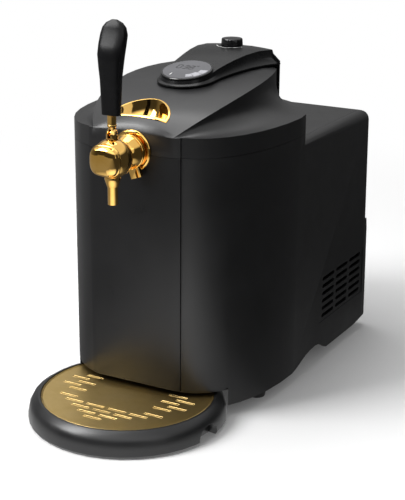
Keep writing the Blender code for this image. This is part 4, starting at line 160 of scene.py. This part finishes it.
M = {
    "satin_black_plastic": moulded("satin_black_plastic", (0.0085, 0.0085, 0.0090), 0.34, 0.00002),
    "gloss_black_plastic": moulded("gloss_black_plastic", (0.0060, 0.0060, 0.0064), 0.15, 0.000003, 0.03),
    "grey_plastic": moulded("grey_plastic", (0.30, 0.31, 0.32), 0.42, 0.00002),
    "gold_plated_brass": metal(
        "gold_plated_brass", (0.90, 0.56, 0.17), (0.78, 0.45, 0.10), 0.06, 0.02, 0.00002
    ),
    "gold_drip_plate": metal(
        "gold_drip_plate", (0.58, 0.42, 0.17), (0.50, 0.35, 0.12), 0.36, 0.06, 0, (1, 14, 1)
    ),
    "display_glass": moulded("display_glass", (0.085, 0.085, 0.094), 0.10, 0.000002, 0.02),
    "black_rubber": moulded("black_rubber", (0.020, 0.020, 0.020), 0.75, 0.00005),
    "grey_silicone": moulded("grey_silicone", (0.42, 0.42, 0.42), 0.55, 0.00003),
    "aluminium": metal("aluminium", (0.72, 0.73, 0.74), (0.64, 0.65, 0.66), 0.34, 0.08, 0, (1, 1, 12)),
    "stainless_steel": metal(
        "stainless_steel", (0.58, 0.58, 0.59), (0.50, 0.50, 0.51), 0.28, 0.08, 0, (10, 1, 1)
    ),
    "white_foam": moulded("white_foam", (0.86, 0.86, 0.84), 0.9, 0.0003),
    "white_ceramic": moulded("white_ceramic", (0.88, 0.88, 0.86), 0.4, 0.00001),
    "green_circuit_board": moulded("green_circuit_board", (0.03, 0.22, 0.10), 0.35, 0.00004),
    "brass": metal("brass", (0.62, 0.46, 0.18), (0.52, 0.36, 0.13), 0.3, 0.08, 0, (1, 1, 8)),
}
HANDLE_BLACK = moulded("handle_black", (0.0062, 0.0062, 0.0066), 0.25, 0.00001, 0.04, 0.13)
PANEL_BLACK = moulded("panel_black", (0.0075, 0.0075, 0.0080), 0.32, 0.000008, 0.04, 0.34)
CONSOLE_BLACK = moulded("console_black", (0.0062, 0.0062, 0.0066), 0.27, 0.000012, 0.04, 0.25)
# lighter, glossier copy of the drip plate's metal for the pressed lips: painted highlight on the slot edges
# and rim
PLATE_LIP_PAINTED_HIGHLIGHT = metal("plate_lip_painted_highlight", (0.66, 0.47, 0.19), (0.56, 0.38, 0.13), 0.32, 0.05, 0.00002)
WHITE_INK = moulded("white_ink", (0.74, 0.74, 0.73), 0.45, 0.000004)
BLACK_INK = moulded("black_ink", (0.010, 0.010, 0.012), 0.35, 0.000004)
# pale glossy grey for the sectors on the lower right of the display: painted reflection
PAINTED_REFLECTION_FILM = moulded("painted_reflection_film", (0.40, 0.40, 0.43), 0.18, 0.000003, 0.03)


# edges: shading that is smooth up to an angle, over a small bevel on the nodes that list one
EDGE_ANGLE = math.radians(32)
FLAT_ANGLE = math.radians(0.3)
WELD_DISTANCE = 0.002 * mm


def smoothing():
    made = bpy.data.node_groups.new("smooth_by_angle", "GeometryNodeTree")
    made.interface.new_socket("Geometry", in_out="INPUT", socket_type="NodeSocketGeometry")
    made.interface.new_socket("Geometry", in_out="OUTPUT", socket_type="NodeSocketGeometry")
    start, end = made.nodes.new("NodeGroupInput"), made.nodes.new("NodeGroupOutput")
    turn = made.nodes.new("GeometryNodeInputMeshEdgeAngle")
    under = made.nodes.new("FunctionNodeCompare")
    under.operation = "LESS_THAN"
    under.inputs[1].default_value = EDGE_ANGLE
    faces, edges = (made.nodes.new("GeometryNodeSetShadeSmooth") for _ in range(2))
    faces.domain, edges.domain = "FACE", "EDGE"
    made.links.new(turn.outputs[0], under.inputs[0])
    made.links.new(start.outputs[0], faces.inputs["Geometry"])
    made.links.new(faces.outputs[0], edges.inputs["Geometry"])
    made.links.new(under.outputs[0], edges.inputs["Shade Smooth"])
    made.links.new(edges.outputs[0], end.inputs[0])
    return made


SMOOTH = smoothing()


def dress(name, material, bevel):
    """A CAD node gets its material, joined corners, a soft edge if a bevel width is given, and smooth
    shading.
    """
    o = nodes[name]
    for index in range(len(o.material_slots)):
        o.material_slots[index].material = material
    for extra in ("custom_normal", "sharp_edge", "sharp_face"):
        if extra in o.data.attributes:
            o.data.attributes.remove(o.data.attributes[extra])
    weld = o.modifiers.new("weld", "WELD")
    weld.merge_threshold = WELD_DISTANCE
    if bevel:
        flat = o.modifiers.new("flat", "DECIMATE")
        flat.decimate_type = "DISSOLVE"
        flat.angle_limit = FLAT_ANGLE
        soft = o.modifiers.new("soft", "BEVEL")
        soft.width = bevel
        soft.segments = 2
        soft.limit_method = "ANGLE"
        soft.angle_limit = EDGE_ANGLE
    o.modifiers.new("shade", "NODES").node_group = SMOOTH


BEVELS = {
    "deck_panel": 0.4, "rear_cover": 0.4, "display_bezel": 0.3, "pressure_knob": 0.3,
    "tap_front_cap": 0.4, "tap_body": 0.3, "coupling_nut": 0.3, "wall_flange": 0.4, "lock_ring": 0.4,
    "tap_spout": 0.3, "lever_bonnet": 0.25, "tap_lever": 0.25, "scoop_insert": 0.4, "hinge_bracket": 0.4,
    "hinge_leaf": 0.4, "mains_inlet": 0.3,
}
SPECIAL = {"tap_handle": HANDLE_BLACK, "front_panel": PANEL_BLACK, "console_cover": CONSOLE_BLACK}
for name, o in nodes.items():
    slot = o.data.materials[0].name
    dress(name, SPECIAL.get(name, M[slot]), BEVELS.get(name, 0) * mm)


# small pieces
def new_piece(name, shape, material, body, smooth=False):
    """A mesh piece with its normals outwards that rides on a CAD body."""
    bmesh.ops.recalc_face_normals(shape, faces=shape.faces)
    mesh = bpy.data.meshes.new(name)
    shape.to_mesh(mesh)
    shape.free()
    made = bpy.data.objects.new(name, mesh)
    scene.collection.objects.link(made)
    mesh.materials.append(material)
    if smooth:
        made.modifiers.new("shade", "NODES").node_group = SMOOTH
    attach(made, body)
    return made


def printed(name, node, outlines, material, body, lift=0.1 * mm):
    """Thin printed film on the upper face of a node: one closed sheet for each outline."""
    mesh = nodes[node].data
    ground = BVHTree.FromPolygons([v.co for v in mesh.vertices], [p.vertices for p in mesh.polygons])
    shape = bmesh.new()
    for outline in outlines:
        rings = []
        for rise in (lift, -lift / 2):
            ring = []
            for x, y in outline:
                place = ground.ray_cast(Vector((x, y, 1.0)), Vector((0, 0, -1)))[0]
                ring.append(shape.verts.new(place + Vector((0, 0, rise))))
            rings.append(ring)
        shape.faces.new(rings[0])
        shape.faces.new(rings[1])
        for index in range(len(outline)):
            turned = (index + 1) % len(outline)
            shape.faces.new([rings[0][index], rings[0][turned], rings[1][turned], rings[1][index]])
    return new_piece(name, shape, material, body)


def sector(centre, inner, outer, start, end, steps):
    """Outline of a ring sector, angles in degrees."""
    turns = [math.radians(start + (end - start) * k / steps) for k in range(steps + 1)]
    far = [(centre[0] + outer * math.cos(t), centre[1] + outer * math.sin(t)) for t in turns]
    near = [(centre[0] + inner * math.cos(t), centre[1] + inner * math.sin(t)) for t in reversed(turns)]
    return far + near


def bar(start, end, half):
    """Outline of a segment of a digit: a bar with pointed ends."""
    (x0, y0), (x1, y1) = start, end
    along = Vector((x1 - x0, y1 - y0)).normalized() * half
    side = Vector((-along.y, along.x))
    a, b = Vector(start), Vector(end)
    return [tuple(p) for p in (a, a + along + side, b - along + side, b, b - along - side, a + along - side)]


DIAL = Vector((0.0, -9.8)) * mm
SEGMENTS = {"0": "abcdef", "3": "abcdg", "8": "abcdefg"}


def digit_bars(digit, x, y, width, height, half):
    """Bars of a seven-segment digit with its lower left corner at x, y."""
    left, right = x, x + width
    low, middle, high = y, y + height / 2, y + height
    gap = half * 0.35
    ends = {
        "a": ((left + gap, high), (right - gap, high)), "b": ((right, middle + gap), (right, high - gap)),
        "c": ((right, low + gap), (right, middle - gap)), "d": ((left + gap, low), (right - gap, low)),
        "e": ((left, low + gap), (left, middle - gap)), "f": ((left, middle + gap), (left, high - gap)),
        "g": ((left + gap, middle), (right - gap, middle)),
    }
    return [bar(*ends[key], half) for key in SEGMENTS[digit]]


DIGIT_START = Vector((-15.0, 1.4)) * mm
DIGIT_PITCH = 7.6 * mm
DIGIT_SIZE = (5.0 * mm, 9.6 * mm, 0.75 * mm)
DEGREE_PLACE = Vector((8.4, 11.6)) * mm
DEGREE_RADII = (0.7 * mm, 1.4 * mm)

reading = []
for index, digit in enumerate("038"):
    corner = DIAL + DIGIT_START + Vector((DIGIT_PITCH * index, 0))
    reading += digit_bars(digit, corner.x, corner.y, *DIGIT_SIZE)
for start in (0, 180):
    reading.append(sector(DIAL + DEGREE_PLACE, *DEGREE_RADII, start, start + 180, 5))
printed("display_reading", "display_glass", reading, BLACK_INK, "lid")
MARK_CORNERS = ((-11.9, -19.4), (-10.7, -19.4), (-10.7, -13.8), (-11.9, -13.8))
mark = [(DIAL.x + x * mm, DIAL.y + y * mm) for x, y in MARK_CORNERS]
printed("display_mark", "display_glass", [mark], WHITE_INK, "lid")
# pale sectors on the lower right of the display disc: a painted reflection of the studio
PAINTED_REFLECTION_SECTORS = ((15.5, 23.4, -66, -45), (15.0, 25.4, -43, -20), (17.0, 25.8, -18, 6))
reflection_patches = [sector(DIAL, inner * mm, outer * mm, start, end, 5) for inner, outer, start, end in PAINTED_REFLECTION_SECTORS]
printed("display_painted_reflection", "display_glass", reflection_patches, PAINTED_REFLECTION_FILM, "lid")

SPINDLE = Vector((0.0, 100.7)) * mm
SCALE_RADII = (17.9 * mm, 18.6 * mm)
SCALE_START, SCALE_STEP, SCALE_PARTS = -154, 8, 16
SPOT_RADIUS = 18.3 * mm
SPOTS = ((-154, 0.9), (-90, 0.6), (-50, 0.8), (-26, 0.9))

scale = []
for k in range(SCALE_PARTS):
    start = SCALE_START + SCALE_STEP * k
    scale.append(sector(SPINDLE, *SCALE_RADII, start, start + SCALE_STEP, 2))
for turn, size in SPOTS:
    out = Vector((math.cos(math.radians(turn)), math.sin(math.radians(turn))))
    scale.append(sector(SPINDLE + out * SPOT_RADIUS, 0, size * mm, 0, 330, 11)[:12])
printed("pressure_scale", "console_cover", scale, WHITE_INK, "lid", 0.08 * mm)


def lathe(rows, place, steps=32):
    """A ring turned about Z through a closed outline of (radius, height)."""
    shape = bmesh.new()
    rings = []
    for k in range(steps):
        turn = 2 * math.pi * k / steps
        out = Vector((math.cos(turn), math.sin(turn), 0))
        rings.append([shape.verts.new(Vector(place) + out * r + Vector((0, 0, z))) for r, z in rows])
    for k in range(steps):
        here, there = rings[k], rings[(k + 1) % steps]
        for j in range(len(rows)):
            shape.faces.new([here[j], there[j], there[(j + 1) % len(rows)], here[(j + 1) % len(rows)]])
    return shape


LEVER_Y = -168.7 * mm
SLEEVE_PROFILE = (
    (4.25, 338.6), (4.6, 338.3), (5.0, 338.7), (5.0, 340.2), (4.75, 340.5), (4.75, 349.6),
    (4.95, 349.9), (4.95, 350.6), (4.7, 350.8), (4.25, 350.8),
)


def add_sleeve():
    """Plated sleeve over the lever's stem, between the bonnet and the handle."""
    shape = lathe([(r * mm, z * mm) for r, z in SLEEVE_PROFILE], (0, LEVER_Y, 0))
    new_piece("lever_sleeve", shape, M["gold_plated_brass"], "lever", True)


add_sleeve()


def top_loops(node):
    """Closed outlines, as lists of points, that bound the upward faces of a node."""
    shape = bmesh.new()
    shape.from_mesh(nodes[node].data)
    bmesh.ops.remove_doubles(shape, verts=shape.verts, dist=WELD_DISTANCE)
    shape.normal_update()
    links = {}
    for edge in shape.edges:
        level = [f for f in edge.link_faces if f.normal.z > 0.9]
        if len(level) == 1:
            a, b = edge.verts
            links.setdefault(a, []).append(b)
            links.setdefault(b, []).append(a)
    loops = []
    while links:
        start = next(iter(links))
        loop, here, last = [], start, None
        while here in links:
            around = links.pop(here)
            loop.append(here.co.copy())
            ahead = [v for v in around if v is not last and v in links]
            last = here
            if not ahead:
                break
            here = ahead[0]
        loops.append(loop)
    shape.free()
    return loops


def lip(shape, loop, width, height):
    """A low pressed ridge beside a closed outline, outwards if width is positive."""
    count = len(loop)
    area = sum(a.x * b.y - b.x * a.y for a, b in zip(loop, loop[1:] + loop[:1]))
    sign = math.copysign(1.0, area)
    rings = [[], [], [], []]
    for k in range(count):
        before, here, after = loop[k - 1], loop[k], loop[(k + 1) % count]
        one = (here - before).normalized()
        two = (after - here).normalized()
        away = Vector((one.y + two.y, -one.x - two.x, 0)).normalized() * sign
        for ring, (out, rise) in zip(rings, ((0.04, 0), (0.45, 1), (1, 0), (0.5, -0.3))):
            ring.append(shape.verts.new(here + away * width * out + Vector((0, 0, height * rise))))
    for k in range(count):
        turned = (k + 1) % count
        for j in range(4):
            there = (j + 1) % 4
            shape.faces.new([rings[j][k], rings[j][turned], rings[there][turned], rings[there][k]])


SLOT_LIP = (0.6 * mm, 0.16 * mm)
RIM_LIP = (-1.3 * mm, 0.4 * mm)
LONGEST_SLOT = 40 * mm


def add_plate_lips():
    """Pressed lips round the slots of the drip plate, and the rolled rim along its edge."""
    loops = sorted(top_loops("drip_plate"), key=len)
    spread = {id(loop): max(p.x for p in loop) - min(p.x for p in loop) for loop in loops}
    rim = max(loops, key=lambda loop: (spread[id(loop)], loop[0].z))
    slots = bmesh.new()
    for loop in loops:
        if len(loop) > 3 and spread[id(loop)] < LONGEST_SLOT:
            lip(slots, loop, *SLOT_LIP)
    # the lips wear a lighter copy of the plate's metal: painted highlight along the slot edges
    new_piece("plate_slot_lips", slots, PLATE_LIP_PAINTED_HIGHLIGHT, "tray", True)
    edge = bmesh.new()
    lip(edge, rim, *RIM_LIP)
    new_piece("plate_rim", edge, PLATE_LIP_PAINTED_HIGHLIGHT, "tray", True)


add_plate_lips()


PIN_SIZE = Vector((2.0, 9.0, 4.0)) * mm
PIN_EDGE = 0.4 * mm
PIN_PLACES = ((-76.0, 241.5, 60.5), (-62.0, 241.5, 60.5), (-69.0, 241.5, 64.5))


def add_inlet_pins():
    """Three flat contact pins in the mains inlet."""
    shape = bmesh.new()
    for place in PIN_PLACES:
        made = bmesh.ops.create_cube(shape, size=1.0)["verts"]
        bmesh.ops.scale(shape, vec=PIN_SIZE, verts=made)
        bmesh.ops.translate(shape, vec=Vector(place) * mm, verts=made)
    bmesh.ops.bevel(shape, geom=list(shape.edges), offset=PIN_EDGE, segments=2, affect="EDGES")
    new_piece("inlet_pins", shape, M["stainless_steel"], "machine", True)


add_inlet_pins()


# floor, white for the camera with the object's shadow on it; in reflections it glows with painted light,
# brighter at the front left and in a painted pool in front
FLOOR_HALF = 9.0
FLOOR_DROP = 0.2 * mm
FADE_START, FADE_END = 0.45, 1.3
PAINTED_POOL_CENTRE = (0.10, -0.42, 0)
# a bright painted pool of light on the floor, seen only in reflections
PAINTED_POOL_START, PAINTED_POOL_END, PAINTED_POOL_LEVEL = 0.12, 0.42, 1.5


def make_floor():
    mesh = bpy.data.meshes.new("floor")
    corners = [(x * FLOOR_HALF, y * FLOOR_HALF, -FLOOR_DROP) for x, y in ((-1, -1), (1, -1), (1, 1), (-1, 1))]
    mesh.from_pydata(corners, [], [(0, 1, 2, 3)])
    made = bpy.data.objects.new("floor", mesh)
    scene.collection.objects.link(made)
    skin = bpy.data.materials.new("floor")
    skin.use_nodes = True
    g = Graph(skin.node_tree)
    g.tree.nodes.clear()
    place = g.node("ShaderNodeTexCoord").outputs["Object"]
    away = g.node("ShaderNodeVectorMath", {0: place}, operation="LENGTH").outputs["Value"]
    far = g.node(
        "ShaderNodeMapRange",
        {"Value": away, "From Min": FADE_START, "From Max": FADE_END},
        interpolation_type="SMOOTHSTEP",
    ).outputs[0]
    path = g.node("ShaderNodeLightPath").outputs
    seen, mirrored = path["Is Camera Ray"], path["Is Glossy Ray"]
    paper = g.node("ShaderNodeBsdfDiffuse", {"Color": colour(0.88, 0.88, 0.88)})
    lift = g.glow(g.maths("MULTIPLY", seen, 0.05))
    near = g.node("ShaderNodeAddShader", {0: paper.outputs[0], 1: lift.outputs[0]})
    white = g.glow(1.0)
    fade = g.maths("MULTIPLY", far, seen)
    mixed = g.node("ShaderNodeMixShader", {0: fade, 1: near.outputs[0], 2: white.outputs[0]})
    across = g.node("ShaderNodeSeparateXYZ", {0: place}).outputs
    # in reflections only, the floor glows: a painted reflection fading from front left to back right, plus
    # the painted pool of light
    side = g.maths("ADD", g.maths("MULTIPLY", across["X"], 0.8), g.maths("MULTIPLY", across["Y"], 0.3))
    off = g.node("ShaderNodeVectorMath", {0: place, 1: PAINTED_POOL_CENTRE}, operation="DISTANCE").outputs["Value"]
    painted_light_pool = g.span(off, PAINTED_POOL_START, PAINTED_POOL_END, PAINTED_POOL_LEVEL, 0.0)
    grey = g.glow(g.maths("ADD", g.span(side, -0.5, 0.35, 0.34, 0.05), painted_light_pool))
    shown = g.node("ShaderNodeMixShader", {0: mirrored, 1: mixed.outputs[0], 2: grey.outputs[0]})
    g.node("ShaderNodeOutputMaterial", {"Surface": shown.outputs[0]})
    mesh.materials.append(skin)


make_floor()


# soft studio light
def lamp(name, place, aim, width, height, watts):
    data = bpy.data.lights.new(name, "AREA")
    data.shape = "RECTANGLE"
    data.size, data.size_y = width, height
    data.energy = watts
    made = bpy.data.objects.new(name, data)
    made.location = place
    made.rotation_euler = (Vector(aim) - Vector(place)).to_track_quat("-Z", "Y").to_euler()
    scene.collection.objects.link(made)


LAMPS = {
    "key": ((-1.5, -1.5, 2.1), (0, 0, 0.1), 1.2, 1.6, 80),
    "fill": ((2.2, -1.2, 1.2), (0, 0, 0.2), 1.0, 1.6, 4),
    "top": ((-0.5, 0.1, 2.4), (0, 0, 0.3), 1.8, 1.4, 28),
}
for name, settings in LAMPS.items():
    lamp(name, *settings)

OPEN_LIGHT = 0.26


def make_world():
    world = bpy.data.worlds.new("studio")
    scene.world = world
    world.use_nodes = True
    g = Graph(world.node_tree)
    g.tree.nodes.clear()
    path = g.node("ShaderNodeLightPath").outputs
    place = g.node("ShaderNodeTexCoord").outputs["Generated"]
    parts = g.node("ShaderNodeSeparateXYZ", {0: place}).outputs
    turn = g.maths("ADD", g.maths("MULTIPLY", parts["X"], -0.6), g.maths("MULTIPLY", parts["Y"], 0.5))
    back = g.span(turn, 0.05, 0.65, 0.05, 0.25)
    high = g.span(parts["Z"], 0.40, 0.58, 0.0, 0.9)
    raised = g.span(parts["Z"], 0.45, 0.60, 0.0, 1.0)
    front = g.maths("MULTIPLY", raised, g.span(parts["Y"], -0.2, -0.5, 0.0, 0.9))
    mirrored = g.maths("ADD", g.maths("ADD", back, high), front)
    level = g.maths("MULTIPLY", path["Is Glossy Ray"], g.maths("SUBTRACT", mirrored, OPEN_LIGHT))
    level = g.maths("ADD", level, OPEN_LIGHT)
    straight = g.maths("MAXIMUM", path["Is Camera Ray"], path["Is Transmission Ray"])
    level = g.maths("ADD", level, g.maths("MULTIPLY", straight, g.maths("SUBTRACT", 1.0, level)))
    shell = g.node("ShaderNodeBackground", {"Color": colour(1, 1, 1), "Strength": level})
    g.node("ShaderNodeOutputWorld", {"Surface": shell.outputs[0]})


make_world()
